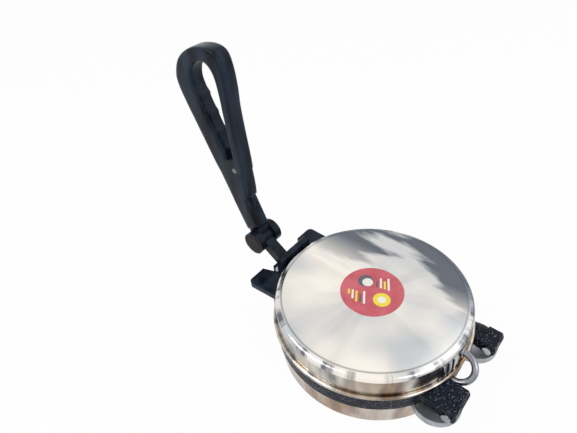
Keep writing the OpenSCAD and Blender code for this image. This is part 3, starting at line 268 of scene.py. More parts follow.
@dataclass(frozen=True)
class SpunSteel:
    """Sheet steel polished on a lathe: fine rings round the upright axis on a tone that clouds over.

    The tone goes from cream to cool grey by slow noise, and towards cool grey on the side of -X;
    the cream, its clouds and that side are painted reflections. Four shares of a dark shade lie on
    it: a painted shade at the edge, and painted reflections in the fans, the skirt and the streaks,
    each told by its own method. Radii and the widths of fades are in metres.
    """

    name: str
    centre: tuple[float, float, float]
    # Painted reflections in cream and cool grey, and a dark shade for the painted shade and reflections
    tone: str = "f8f1e7"
    cool: str = "c6c9cb"
    shade: str = "434c5b"
    rough: float = 0.17
    rough_spread: Pair = (0.8, 1.25)
    brushed: float = 0.35
    # The lathe's marks are finer than the render can show, and are drawn this coarse
    ring_mm: float = 0.5882
    ring_depth_mm: float = 0.004
    cloud_mm: float = 125.0
    cloud_range: Pair = (0.42, 0.62)
    # How far the painted reflection on the side of -X goes to cool grey
    side_cool: float = 0.8
    # Where the flat top bends down
    edge_radius: float = 0.1082
    # How wide the painted shade of the bend fades, and how dark it gets
    edge_fade: Pair = (0.0003, 0.0016)
    edge_share: float = 0.55
    # Painted reflections: faint dark fans out from the axis
    fan_mm: float = 33.81
    fan_range: Pair = (0.50, 0.70)
    fan_share: float = 0.10
    # How fast the fans change outwards, in a metre
    fan_rise: float = 3.0
    # Painted reflections: patches round the skirt below the edge
    skirt_fade: Pair = (0.0008, 0.0030)
    blotch_mm: float = 16.65
    blotch_range: Pair = (0.48, 0.60)
    blotch_share: float = 0.85
    # The painted reflections of streaks, and the painted cool grey of that side, fade in between
    # these distances from the axis, on the side of -X
    streak_side: Pair = (0.008, 0.062)
    streak_mm: float = 30.303
    streak_stretch: tuple[float, float, float] = (1.0, 0.24, 1.0)
    streak_range: Pair = (0.475, 0.565)
    streak_radius: float = 0.078
    streak_growth: float = 2.2
    streak_share: float = 0.85
    # Which slice of the noise the top cuts, as a height
    streak_slice: float = 2.05

    def edge(self, g: Graph, radius: Value) -> bpy.types.Node:
        """Draws a thin ring of painted shade where the top bends down, by the distance from its radius.

        Args:
            g: the node tree.
            radius: the distance from the axis.

        Returns:
            The share of shade.
        """
        signed = g.add("Math", (radius, self.edge_radius), operation="SUBTRACT")
        away = g.add("Math", (signed,), operation="ABSOLUTE")
        return g.add("MapRange", (away, *self.edge_fade, self.edge_share, 0.0))

    def fans(self, g: Graph, radius: Value, cosine: Value, sine: Value) -> bpy.types.Node:
        """Draws faint fans that go out from the axis: painted reflections.

        They are noise over the angle's cosine and sine, which changes slowly outwards.

        Args:
            g: the node tree.
            radius: the distance from the axis.
            cosine: the cosine of the angle round it.
            sine: the sine of that angle.

        Returns:
            The share of shade.
        """
        slow = g.add("Math", (radius, self.fan_rise), operation="MULTIPLY")
        point = g.add("CombineXYZ", (cosine, sine, slow))
        scale = self.edge_radius / (self.fan_mm * MM)
        fan = g.add("TexNoise", {"Vector": point, "Scale": scale, "Detail": 2.0})
        return g.add("MapRange", (fan, *self.fan_range, 0.0, self.fan_share))

    def skirt(self, g: Graph, radius: Value, cosine: Value, sine: Value) -> bpy.types.Node:
        """Draws the patches that the skirt below the edge mirrors, by noise round the axis.

        Args:
            g: the node tree.
            radius: the distance from the axis.
            cosine: the cosine of the angle round it.
            sine: the sine of that angle.

        Returns:
            The share of shade.
        """
        point = g.add("CombineXYZ", (cosine, sine, 0.0))
        scale = self.edge_radius / (self.blotch_mm * MM)
        noise = g.add("TexNoise", {"Vector": point, "Scale": scale, "Detail": 4.0})
        blotch = g.add("MapRange", (noise, *self.blotch_range, 0.0, self.blotch_share))
        below = g.add("MapRange", (radius, *(self.edge_radius + fade for fade in self.skirt_fade)))
        return g.add("Math", (blotch, below), operation="MULTIPLY")

    def streaks(self, g: Graph, radius: Value, offset: Value, side: Value) -> bpy.types.Node:
        """Draws the dark streaks that the top mirrors on one side.

        They are noise stretched along Y, which a slope lifts outside one radius and lowers inside it.

        Args:
            g: the node tree.
            radius: the distance from the axis.
            offset: the offset from the centre.
            side: how much of them shows.

        Returns:
            The share of shade.
        """
        cut = g.add("VectorMath", (offset, (0.0, 0.0, self.streak_slice)), operation="ADD")
        point = g.add("Mapping", {"Vector": cut, "Scale": self.streak_stretch})
        noise = g.add("TexNoise", {"Vector": point, "Scale": 1 / (self.streak_mm * MM), "Detail": 3.6})
        outside = g.add("Math", (radius, self.streak_radius), operation="SUBTRACT")
        slope = g.add("Math", (outside, self.streak_growth), operation="MULTIPLY")
        streak = g.add("MapRange", (g.add("Math", (noise, slope), operation="ADD"), *self.streak_range))
        shown = g.add("Math", (streak, side), operation="MULTIPLY")
        return g.add("Math", (shown, self.streak_share), operation="MULTIPLY")

    def build(self) -> bpy.types.Material:
        """Builds the material's nodes.

        Returns:
            The material.
        """
        g = Graph(bpy.data.materials.new(self.name))
        radius, cosine, sine, offset = g.polar(self.centre)
        x = g.add("SeparateXYZ", (offset,)).outputs[0]
        side = g.add("MapRange", (g.add("Math", (x, -1.0), operation="MULTIPLY"), *self.streak_side))
        # Painted reflections: cream that clouds to cool grey, more of it on the side of -X
        noise = g.add("TexNoise", {"Vector": offset, "Scale": 1 / (self.cloud_mm * MM), "Detail": 2.0})
        cloud = g.add("MapRange", (noise, *self.cloud_range))
        sided = g.add("Math", (side, self.side_cool), operation="MULTIPLY")
        cooled = g.add("Math", (cloud, sided), operation="MAXIMUM")
        colour = g.add("Mix", {0: cooled, 6: linear(self.tone), 7: linear(self.cool)}, data_type="RGBA")
        # A painted shade at the edge, then painted reflections: fans, skirt patches and streaks
        for share in (self.edge(g, radius), self.fans(g, radius, cosine, sine),
                      self.skirt(g, radius, cosine, sine), self.streaks(g, radius, offset, side)):
            colour = g.add("Mix", {0: share, 6: colour, 7: linear(self.shade)}, data_type="RGBA")
        ring = g.add("TexNoise", {"W": radius, "Scale": 1 / (self.ring_mm * MM), "Detail": 2.0},
                     noise_dimensions="1D")
        smooth, dull = (self.rough * spread for spread in self.rough_spread)
        across = g.add("VectorMath", (offset, (0.0, 0.0, 1.0)), operation="CROSS_PRODUCT")
        shader = g.add("BsdfPrincipled", {
            "Base Color": colour, "Metallic": 1.0, "Anisotropic": self.brushed,
            "Tangent": g.add("VectorMath", (across,), operation="NORMALIZE"),
            "Roughness": g.add("MapRange", (ring, *NOISE_RANGE, smooth, dull)),
            "Normal": g.add("Bump", {"Height": ring, "Distance": self.ring_depth_mm * MM})})
        g.add("OutputMaterial", {"Surface": shader})
        return g.owner


@dataclass(frozen=True)
class WallSteel:
    """Sheet steel round an upright axis: upright patches of tan and grey tone, and faint scratches.

    Patches and streaks are noise over the cosine and sine of the angle and a little of the height,
    so they stand upright; both are painted reflections. The scratches are noise that is long round
    the axis and short up the wall.
    """

    name: str
    centre: tuple[float, float, float]
    # Tones of the painted reflections: tan and grey patches and dark upright streaks
    tone: str = "c4bdb4"
    warm: str = "9b7d66"
    shade: str = "5c5754"
    rough: float = 0.24
    rough_spread: Pair = (0.7, 1.4)
    wall_mm: float = 116.0
    patch_mm: float = 48.33
    patch_range: Pair = (0.40, 0.58)
    streaks_in_patch: float = 3.4
    streak_range: Pair = (0.46, 0.74)
    streak_share: float = 0.8
    # How fast the patches change up the wall, in a metre
    rise: float = 3.0
    # Real scratches are finer, and these are as coarse as they need to be to show
    scratch_mm: float = 1.25
    scratch_length_mm: float = 46.4
    scratch_depth_mm: float = 0.02

    def build(self) -> bpy.types.Material:
        """Builds the material's nodes.

        Returns:
            The material.
        """
        g = Graph(bpy.data.materials.new(self.name))
        _, cosine, sine, offset = g.polar(self.centre)
        around = g.add("CombineXYZ", (cosine, sine, g.add("SeparateXYZ", (offset,)).outputs[2]))
        length = self.wall_mm / self.scratch_length_mm
        lines = g.add("Mapping", {"Vector": around, "Scale": (length, length, 1 / (self.scratch_mm * MM))})
        scratches = g.add("TexNoise", {"Vector": lines, "Scale": 1.0, "Detail": 5.0})
        upright = g.add("Mapping", {"Vector": around, "Scale": (1.0, 1.0, self.rise)})
        patches = self.wall_mm / self.patch_mm
        clouds = g.add("TexNoise", {"Vector": upright, "Scale": patches, "Detail": 4.0})
        fine = patches * self.streaks_in_patch
        streaks = g.add("TexNoise", {"Vector": upright, "Scale": fine, "Detail": 2.0})
        smooth, dull = (self.rough * spread for spread in self.rough_spread)
        # Painted reflections: tan and grey patches, then dark upright streaks
        pale = g.add("MapRange", (clouds, *self.patch_range))
        dark = g.add("MapRange", (streaks, *self.streak_range, 0.0, self.streak_share))
        base = g.add("Mix", {0: pale, 6: linear(self.warm), 7: linear(self.tone)}, data_type="RGBA")
        shader = g.add("BsdfPrincipled", {
            "Base Color": g.add("Mix", {0: dark, 6: base, 7: linear(self.shade)}, data_type="RGBA"),
            "Metallic": 1.0,
            "Roughness": g.add("MapRange", (scratches, *NOISE_RANGE, smooth, dull)),
            "Normal": g.add("Bump", {"Height": scratches, "Distance": self.scratch_depth_mm * MM})})
        g.add("OutputMaterial", {"Surface": shader})
        return g.owner


@dataclass(frozen=True)
class PrintedLabel:
    """A round printed film of generic design: a rose field, two discs with pale middles, and rows of bars.

    Every motif is measured in the label's own plane, turned a little, in label radii.
    """

    name: str
    centre: tuple[float, float, float]
    radius: float
    ROSE, PALE_ROSE, YELLOW, GREY, CREAM, WHITE = "bf4753", "d2626c", "f3dc3c", "54575f", "f4efe6", "f0ece4"
    # Discs as place, size and colour
    DISCS = ((0.34, 0.30, 0.27, YELLOW), (0.34, 0.30, 0.13, CREAM),
             (-0.42, -0.20, 0.25, GREY), (-0.36, -0.14, 0.17, WHITE))
    # Bars as place, width and colour
    BARS = ((-0.30, 0.52, 0.50, CREAM), (-0.26, 0.40, 0.34, YELLOW), (-0.34, 0.28, 0.42, CREAM),
            (-0.28, 0.16, 0.24, GREY), (0.28, -0.24, 0.50, CREAM), (0.32, -0.36, 0.34, GREY),
            (0.24, -0.48, 0.44, YELLOW), (0.16, -0.60, 0.36, CREAM), (0.06, -0.72, 0.20, YELLOW))
    BAR_EDGE = (0.025, 0.04)
    BLUR = 0.01
    TURN = -32.0
    CLOUD_MM = 25.0
    CLOUD_RANGE = (0.35, 0.65)

    def build(self) -> bpy.types.Material:
        """Builds the material's nodes.

        Returns:
            The material.
        """
        g = Graph(bpy.data.materials.new(self.name))
        point = g.add("TexCoord").outputs["Object"]
        flat = g.add("VectorMath", (point, self.centre), operation="SUBTRACT")
        unit = g.add("VectorMath", {0: flat, "Scale": 1 / self.radius}, operation="SCALE")
        turned = g.add("VectorRotate", {"Vector": unit, "Angle": math.radians(self.TURN)},
                       rotation_type="Z_AXIS")
        x, y, _ = g.add("SeparateXYZ", (turned,)).outputs
        cloud = g.add("TexNoise", {"Vector": point, "Scale": 1 / (self.CLOUD_MM * MM), "Detail": 2.0})
        share = g.add("MapRange", (cloud, *self.CLOUD_RANGE))
        colour = g.add("Mix", {0: share, 6: linear(self.ROSE), 7: linear(self.PALE_ROSE)}, data_type="RGBA")
        motifs = [(self.disc(g, x, y, disc[:3]), disc[3]) for disc in self.DISCS]
        motifs += [(self.bar(g, x, y, bar[:3]), bar[3]) for bar in self.BARS]
        for inside, tone in motifs:
            colour = g.add("Mix", {0: inside, 6: colour, 7: linear(tone)}, data_type="RGBA")
        shader = g.add("BsdfPrincipled", {
            "Base Color": colour, "Roughness": 0.32, "Coat Weight": 0.4, "Coat Roughness": 0.1})
        g.add("OutputMaterial", {"Surface": shader})
        return g.owner

    def disc(self, g: Graph, x: Value, y: Value, form: Sequence[float]) -> bpy.types.Node:
        """Draws a disc, by the distance from its centre.

        Args:
            g: the node tree.
            x: the first coordinate in the label's plane.
            y: the second one.
            form: the disc's centre and radius.

        Returns:
            1 inside it and 0 outside.
        """
        at_x, at_y, size = form
        point = g.add("CombineXYZ", (x, y, 0.0))
        offset = g.add("VectorMath", (point, (at_x, at_y, 0.0)), operation="SUBTRACT")
        away = g.add("VectorMath", (offset,), operation="LENGTH")
        return g.add("MapRange", (away, size - self.BLUR, size + self.BLUR, 1.0, 0.0))

    def bar(self, g: Graph, x: Value, y: Value, form: Sequence[float]) -> bpy.types.Node:
        """Draws a low bar: the product of a stripe along each direction.

        Args:
            g: the node tree.
            x: the first coordinate in the label's plane.
            y: the second one.
            form: the bar's centre and width.

        Returns:
            1 inside it and 0 outside.
        """
        at_x, at_y, width = form
        ends = (width / 2 - self.BLUR, width / 2 + self.BLUR)
        stripes = []
        for place, at, fade in ((x, at_x, ends), (y, at_y, self.BAR_EDGE)):
            away = g.add("Math", (g.add("Math", (place, at), operation="SUBTRACT"),), operation="ABSOLUTE")
            stripes.append(g.add("MapRange", (away, *fade, 1.0, 0.0)))
        return g.add("Math", stripes, operation="MULTIPLY")


@dataclass(frozen=True)
class Layout:
    """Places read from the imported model."""

    axis: Vector
    label_radius: float

    @classmethod
    def read(cls) -> "Layout":
        """Reads the label, which lies on the plates' axis.

        Returns:
            The layout.
        """
        low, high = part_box("lid_label")
        middle = (low + high) / 2
        return cls(axis=Vector((middle.x, middle.y, 0.0)), label_radius=(high.x - low.x) / 2)


class Finishes:
    """The finish of every material slot, given to the CAD nodes."""

    def __init__(self, layout: Layout) -> None:
        """Makes the materials.

        Args:
            layout: places read from the model.
        """
        centre = tuple(layout.axis)
        by_slot = self.by_slot(centre, layout.label_radius)
        self.materials = {slot: finish.build() for slot, finish in by_slot.items()}
        self.by_node = {
            # Rolled and polished strip: the painted reflections of a casing wall, brighter and cooler
            "lid_band": WallSteel("rolled_stainless_steel", centre, tone="cdc8c0", warm="9a8068",
                                  shade="45484e", rough=0.2, patch_mm=58.0).build(),
            # Deep-drawn sheet, never polished: a dull, even grey
            "hinge_cups": Mottled("deep_drawn_steel", "b9bcc1", "94989f", lump_mm=11.111, metal=0.85,
                                  grain_mm=0.8333).build()}
        # Strip wound into a tube and plated: bright, but greyer than a solid pin
        self.conduit = Mottled("wound_plated_steel", "96999e", "6f7379", lump_mm=11.111, rough=0.26,
                               metal=1.0, grain_mm=0.7143, depth_mm=0.02).build()
        # Rolled screw, blackened in hot oil: a grey sheen, darker than a plated screw's
        self.dark_screw = Mottled("blackened_steel", "8f959f", "4a4f59", lump_mm=3.333, rough=0.3,
                                  metal=1.0, depth_mm=0.02).build()

    @staticmethod
    def by_slot(centre: tuple[float, ...], label_radius: float) -> dict[Slot, Any]:
        """Lists the finishes that stand for what the slots are made of.

        Args:
            centre: a point on the plates' axis.
            label_radius: the label's radius.

        Returns:
            Slot to finish.
        """
        return {
            # Hammer paint, stoved on: black, pitted, with pale specks where it drew apart
            Slot.CASTING: SpeckledCoat("hammer_painted_aluminium"),
            # Drawn sheet with a mill polish: soft upright reflections, tan and grey, painted into its colour
            Slot.SHEET: WallSteel("drawn_stainless_steel", centre),
            # Spun and buffed sheet: a mirror that fine rings smear into fans; its reflections are painted
            # into its colour
            Slot.POLISHED: SpunSteel("spun_stainless_steel", centre),
            # Turned or bent steel under nickel: bright, with slight clouds
            Slot.BRIGHT: Mottled("nickel_plated_steel", "b4b6ba", "8a8e96", lump_mm=16.667, rough=0.2,
                                 metal=1.0, grain_mm=1.1111, depth_mm=0.01),
            # Rolled screws under zinc: paler and less sharp than nickel
            Slot.SCREW: Mottled("zinc_plated_steel", "c3c5c8", "9da1a6", lump_mm=5.0, rough=0.3,
                                metal=1.0, depth_mm=0.02),
            # Drawn tube that has been hot: a brown-grey bloom of oxide
            Slot.HEATER: Mottled("oxidised_tube_steel", "77706a", "4d4844", lump_mm=8.333,
                                 metal=1.0),
            # Fibre pressed into a board: chalky, uneven and without shine
            Slot.INSULATION: Mottled("pressed_fibre_board", "e4ddcb", "cfc6b2", lump_mm=6.667, rough=0.95,
                                     grain_mm=1.1111, depth_mm=0.3),
            # Fired without glaze: pale, smooth and matt
            Slot.CERAMIC: Mottled("unglazed_ceramic", "e8e2d2", "d8d0bd", lump_mm=5.0, rough=0.7),
            # Woven glass yarn: the weave shows as a coarse matt grain
            Slot.SLEEVING: Mottled("woven_glass_sleeving", "e2dccb", "bdb6a4", lump_mm=1.1111, rough=0.9,
                                   grain_mm=0.4, depth_mm=0.1),
            # Stamped and left plain: warm yellow, a little tarnished
            Slot.BRASS: Mottled("stamped_brass", "c7a252", "a88440", lump_mm=6.25, rough=0.3,
                                metal=1.0),
            # Moulded against an etched die: black with a fine matt texture
            Slot.INLET: Mottled("moulded_nylon", "1a1a1c", "222225", lump_mm=12.5, rough=0.55,
                                grain_mm=0.4545, depth_mm=0.05),
            # Moulded against a polished die: a red lens with a wet gloss
            Slot.LAMP: Mottled("moulded_acrylic", "c93a1c", "a82a14", lump_mm=8.333, rough=0.15,
                               grain_mm=2.0, depth_mm=0.01, coat=0.5),
            # Pressed in a polished die: black gloss with long blue-grey streaks, painted reflections of what
            # it mirrors
            Slot.HANDLE: Mottled("moulded_phenolic", "090d16", "232e3d", lump_mm=16.129, rough=0.22,
                                 grain_mm=5.0, depth_mm=0.08, shine=0.12,
                                 stretch=(1.0, 1.0, 0.18)),
            # Dipped and stoved paint: black gloss that rounds over every edge
            Slot.PAINTED: Mottled("stoved_black_paint", "0a0e17", "1c2637", lump_mm=11.111, rough=0.26,
                                  grain_mm=2.0, depth_mm=0.1, shine=0.12),
            # Turned from bar: near black, with a soft sheen
            Slot.ROLLER: Mottled("turned_nylon", "0a0d15", "18202d", lump_mm=14.286, rough=0.24,
                                 grain_mm=2.0, depth_mm=0.06, shine=0.12),
            # Moulded against a plain die: brown-black and dull
            Slot.ROLLER_CAP: Mottled("moulded_polypropylene", "2a2021", "1b1618", lump_mm=8.333,
                                     shine=0.15),
            # Moulded and unpolished: deep matt black
            Slot.FOOT: Mottled("moulded_rubber", "1b1b1b", "262626", lump_mm=8.333, rough=0.85),
            # Film printed on its back: even colours under a clear gloss
            Slot.LABEL: PrintedLabel("printed_polyester_film", centre, label_radius)}

    def dress(self, nodes: dict[str, bpy.types.Object], record: dict[str, Any]) -> None:
        """Gives each CAD node its slot's finish, or its own.

        Args:
            nodes: node name to object.
            record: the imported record.
        """
        for part in record["subparts"]:
            name, slot = part["node"], Slot(part["material_slot"])
            nodes[name].data.materials.clear()
            nodes[name].data.materials.append(self.by_node.get(name, self.materials[slot]))


def surface(name: str, grid: np.ndarray, material: bpy.types.Material) -> bpy.types.Object:
    """Makes a closed tube from rings of points, with a fan over each end.

    Args:
        name: the piece's name.
        grid: points of shape (rings, points in a ring, 3), in metres, each ring turning the same way.
        material: its finish.

    Returns:
        The object, at the origin.
    """
    rings, around = grid.shape[:2]
    row, column = np.meshgrid(np.arange(rings - 1), np.arange(around), indexing="ij")
    after = (column + 1) % around
    sides = np.stack([row * around + column, row * around + after, (row + 1) * around + after,
                      (row + 1) * around + column], axis=-1).reshape(-1, 4)
    turn = np.arange(around)
    first, last = rings * around, rings * around + 1
    base = (rings - 1) * around
    start = np.stack([np.full(around, first), (turn + 1) % around, turn], axis=-1)
    end = np.stack([np.full(around, last), base + turn, base + (turn + 1) % around], axis=-1)
    points = np.concatenate([grid.reshape(-1, 3), grid[0].mean(axis=0)[None], grid[-1].mean(axis=0)[None]])
    mesh = bpy.data.meshes.new(name)
    mesh.from_pydata(points.tolist(), [], sides.tolist() + start.tolist() + end.tolist())
    mesh.polygons.foreach_set("use_smooth", np.ones(len(mesh.polygons), bool))
    mesh.materials.append(material)
    mesh.update()
    piece = bpy.data.objects.new(name, mesh)
    bpy.context.scene.collection.objects.link(piece)
    return piece


@dataclass(frozen=True)
class Conduit:
    """The steel tube between base and lid, measured in millimetres from the plates' axis and the floor.

    Its centreline is a straight end along +Y, a half turn in the plane of Y and the line between
    both ends, and a straight end back. All of it lies in one plane, so one direction of each ring
    is that plane's normal and the other is the normal crossed with the path.
    """

    low: tuple[float, float] = (24.0, 55.0)
    high: tuple[float, float] = (4.0, 81.0)
    low_start: float = 109.0
    high_start: float = 106.9
    bend: float = 119.0
    radius: float = 3.7
    rings: int = 121
    around: int = 40
    # Rings on each straight end, and the gap from its last one to the bend
    straight: int = 8
    gap: float = 0.4

    def path(self) -> tuple[np.ndarray, np.ndarray, np.ndarray]:
        """Works out the centreline.

        Returns:
            Its points, its direction at each of them, and the normal of its plane.
        """
        low, high = (np.array([x, self.bend, z]) for x, z in (self.low, self.high))
        span = np.linalg.norm(high - low)
        along, back = (high - low) / span, np.array([0.0, 1.0, 0.0])
        turn = np.linspace(0.0, math.pi, self.rings)[:, None]
        middle = (low + high) / 2 - np.cos(turn) * along * span / 2 + np.sin(turn) * back * span / 2
        heading = np.sin(turn) * along + np.cos(turn) * back
        lead_in = low - back * np.linspace(self.bend - self.low_start, self.gap, self.straight)[:, None]
        lead_out = high - back * np.linspace(self.gap, self.bend - self.high_start, self.straight)[:, None]
        end = np.tile(back, (self.straight, 1))
        ahead = np.concatenate([end, heading, -end])
        return np.concatenate([lead_in, middle, lead_out]), ahead, np.cross(along, back)

    def build(self, layout: "Layout", finishes: "Finishes") -> bpy.types.Object:
        """Makes the tube, bent in a half turn between base and lid, which stands for the CAD conduit.

        Args:
            layout: places read from the model.
            finishes: the finishes.

        Returns:
            The tube.
        """
        centre, ahead, normal = self.path()
        side = np.cross(ahead, normal)
        angle = np.linspace(0.0, 2 * math.pi, self.around, endpoint=False)
        cosine, sine = np.cos(angle)[None, :, None], np.sin(angle)[None, :, None]
        ring = cosine * side[:, None, :] + sine * normal[None, None, :]
        grid = (centre[:, None, :] + self.radius * ring) * MM + np.array(layout.axis)
        tube = surface("conduit_tube", grid, finishes.conduit)
        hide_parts("lead_conduit")
        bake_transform(tube)
        LOG.info("conduit: %d points", len(tube.data.vertices))
        return tube


def smooth_path(points: np.ndarray, per_span: int) -> np.ndarray:
    """Draws a smooth curve through points.

    Each span is a cubic between two points. Its slope at a point is half the way from the point
    before that one to the point after it.

    Args:
        points: control points of shape (n, any).
        per_span: how many points each span gets.

    Returns:
        The curve's points.
    """
    padded = np.concatenate([2 * points[:1] - points[1:2], points, 2 * points[-1:] - points[-2:-1]])
    share = np.linspace(0.0, 1.0, per_span, endpoint=False)[None, :, None]
    before, start, end, after = (padded[i : len(points) - 1 + i, None, :] for i in range(4))
    curve = 0.5 * (2 * start + (end - before) * share + (2 * before - 5 * start + 4 * end - after) * share**2
                   + (3 * start - before - 3 * end + after) * share**3)
    return np.concatenate([curve.reshape(-1, points.shape[1]), points[-1:]])


@dataclass(frozen=True)
class HandleShell:
    """The moulded handle, in millimetres in its own frame.

    That frame's coordinates are the depth towards the lid and the length from the axle. The stem is
    a stack of rounded sections from its back edge to its front edge. The loop is a rounded section
    that goes round the finger opening, from the grip over the crown and down the bow; each of its
    rings lies between an inner and an outer point. A section is a superellipse: cosine and sine of
    the angle, each raised to 2 / power with its sign kept.
    """

    axle: tuple[float, float] = (-176.26, 91.98)
    lean: float = 22.5
    half_width: float = 11.0
    power: float = 6.0
    around: int = 72
    # The stem's lengths, each with its back and front edge
    stem: tuple[tuple[float, float, float], ...] = (
        (17.7, -11.5, 11.0), (18.6, -13.2, 12.6), (22.0, -13.6, 13.0), (40.0, -13.9, 13.0),
        (62.5, -14.3, 13.0), (63.6, -14.3, 14.0), (64.4, -14.3, 17.0), (66.5, -14.3, 18.2),
        (74.0, -14.4, 21.8), (84.0, -14.6, 25.8), (100.0, -14.9, 31.2), (115.0, -15.1, 35.6),
        (120.0, -15.0, 34.0), (122.0, -12.0, 30.0))
    # How much narrower than the loop the stem is, and the depth from which it has its full width
    stem_inset: float = 0.12
    stem_full_depth: float = 26.0
    stem_least_width: float = 0.8
    # Inner and outer points of the loop, from the grip's foot over the crown to the bow's foot
    loop: tuple[tuple[float, float, float, float], ...] = (
        (11.5, 108.0, -13.5, 108.0), (13.0, 122.0, -15.2, 122.0), (13.0, 150.0, -15.8, 150.0),
        (13.0, 180.0, -16.4, 180.0), (13.0, 206.0, -16.8, 208.0), (13.7, 221.8, -15.5, 226.5),
        (18.1, 231.8, -10.7, 239.1), (25.1, 238.9, 3.8, 252.4), (34.0, 243.2, 22.0, 258.8),
        (45.0, 242.6, 44.0, 259.6), (53.4, 238.4, 66.0, 253.0), (57.6, 229.6, 77.0, 242.6),
        (57.6, 218.0, 76.0, 225.0), (52.2, 199.0, 68.4, 202.0), (45.4, 180.0, 58.2, 179.5),
        (34.4, 148.0, 46.9, 147.0), (24.6, 119.0, 37.0, 116.5), (20.0, 104.0, 31.0, 101.0))
    ridges: tuple[float, ...] = (134.0, 158.0, 182.0, 206.0)
    ridge_rise: float = 2.0
    ridge_spread: float = 3.4
    # Rings between two points of the loop, and the share of them that lies along the grip
    rings_in_span: int = 12
    grip_share: float = 0.42

    def place(self, x: np.ndarray, depth: np.ndarray, length: np.ndarray, layout: "Layout") -> np.ndarray:
        """Turns places in the handle's own frame by its lean and moves them to the axle.

        Args:
            x: places along the axle.
            depth: places towards the lid.
            length: distances from the axle.
            layout: places read from the model.

        Returns:
            The points in the shared frame, in metres.
        """
        c, s = math.cos(math.radians(self.lean)), math.sin(math.radians(self.lean))
        y = self.axle[0] + depth * c - length * s
        z = self.axle[1] + depth * s + length * c
        return np.stack([x, y, z], axis=-1) * MM + np.array(layout.axis)

    def section(self) -> tuple[np.ndarray, np.ndarray]:
        """Works out the superellipse round its middle.

        Returns:
            Its two coordinates, from -1 to 1.
        """
        angle = np.linspace(0.0, 2 * math.pi, self.around, endpoint=False)
        parts = np.cos(angle), np.sin(angle)
        return tuple(np.sign(part) * np.abs(part) ** (2 / self.power) for part in parts)

    def build_stem(self, layout: "Layout", material: bpy.types.Material) -> bpy.types.Object:
        """Makes the stem: at each length a section that reaches from the back edge to the front edge.

        Args:
            layout: places read from the model.
            material: its finish.

        Returns:
            The stem.
        """
        rows = np.array(self.stem)
        lengths, back, front = rows[:, 0:1], rows[:, 1:2], rows[:, 2:3]
        across, along = self.section()
        depth = (front + back) / 2 + (front - back) / 2 * across[None, :]
        share = np.clip((front - back) / self.stem_full_depth, self.stem_least_width, 1.0)
        width = (self.half_width - self.stem_inset) * share
        grid = self.place(width * along[None, :], depth, np.broadcast_to(lengths, depth.shape), layout)
        return surface("handle_stem", grid, material)

    def build_loop(self, layout: "Layout", material: bpy.types.Material) -> bpy.types.Object:
        """Makes the loop round the finger opening.

        Its finger ridges are bell curves over the length, which lift the grip's inner side.

        Args:
            layout: places read from the model.
            material: its finish.

        Returns:
            The loop.
        """
        path = smooth_path(np.array(self.loop), self.rings_in_span)
        inner, outer = path[:, 0:2], path[:, 2:4]
        reach = np.arange(len(path)) < len(path) * self.grip_share
        swell = sum(np.exp(-(((inner[:, 1] - at) / self.ridge_spread) ** 2)) for at in self.ridges)
        inner = inner + np.stack([swell * self.ridge_rise * reach, np.zeros(len(path))], axis=-1)
        across, along = self.section()
        middle, half = (inner + outer) / 2, (outer - inner) / 2
        flat = middle[:, None, :] + half[:, None, :] * across[None, :, None]
        x = np.broadcast_to(self.half_width * along[None, :], flat.shape[:2])
        return surface("handle_loop", self.place(x, flat[..., 0], flat[..., 1], layout), material)

    def build(self, layout: "Layout", finishes: "Finishes") -> None:
        """Makes the handle, which rides on the lever and stands for the CAD handle.

        Args:
            layout: places read from the model.
            finishes: the finishes.
        """
        material = finishes.materials[Slot.HANDLE]
        pieces = [self.build_stem(layout, material), self.build_loop(layout, material)]
        for piece in pieces:
            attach(piece, Body.LEVER.value)
        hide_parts("handle_grip")
        LOG.info("handle: stem and loop, %d points", sum(len(piece.data.vertices) for piece in pieces))


@dataclass(frozen=True)
class ScrewFace:
    """A flat pan head on the handle's side: an outline turned round a line along X."""

    depth: float = 19.0
    length: float = 107.0
    radius: float = 3.7
    low: float = 10.6
    rise: float = 0.55
    around: int = 40
    # The outline, as shares of the radius and of the rise
    outline: tuple[Pair, ...] = ((1.0, 0.0), (1.0, 0.75), (0.9, 1.0), (0.45, 1.12), (0.08, 1.15))

    def build(self, shell: HandleShell, layout: "Layout", finishes: "Finishes") -> bpy.types.Object:
        """Makes the head.

        Args:
            shell: the handle that it sits on.
            layout: places read from the model.
            finishes: the finishes.

        Returns:
            The head.
        """
        rim = np.array(self.outline)
        angle = np.linspace(0.0, 2 * math.pi, self.around, endpoint=False)
        r = rim[:, 0:1] * self.radius
        x = np.broadcast_to(self.low + rim[:, 1:2] * self.rise, (len(rim), self.around))
        grid = shell.place(x, self.depth + r * np.cos(angle), self.length + r * np.sin(angle), layout)
        head = surface("handle_screw_head", grid, finishes.dark_screw)
        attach(head, Body.LEVER.value)
        return head


@dataclass(frozen=True)
class SoftEdges:
    """Rounds the sharp edges of CAD nodes with a modifier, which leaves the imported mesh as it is."""

    width: float = 0.0007
    angle: float = 40.0

    def build(self, nodes: Sequence[bpy.types.Object]) -> None:
        """Bevels the edges.

        Args:
            nodes: the CAD nodes.
        """
        for node in nodes:
            edge = node.modifiers.new("edge", "BEVEL")
            edge.width, edge.segments = self.width, 2
            edge.limit_method, edge.angle_limit = "ANGLE", math.radians(self.angle)
        LOG.info("edges: %d nodes", len(nodes))


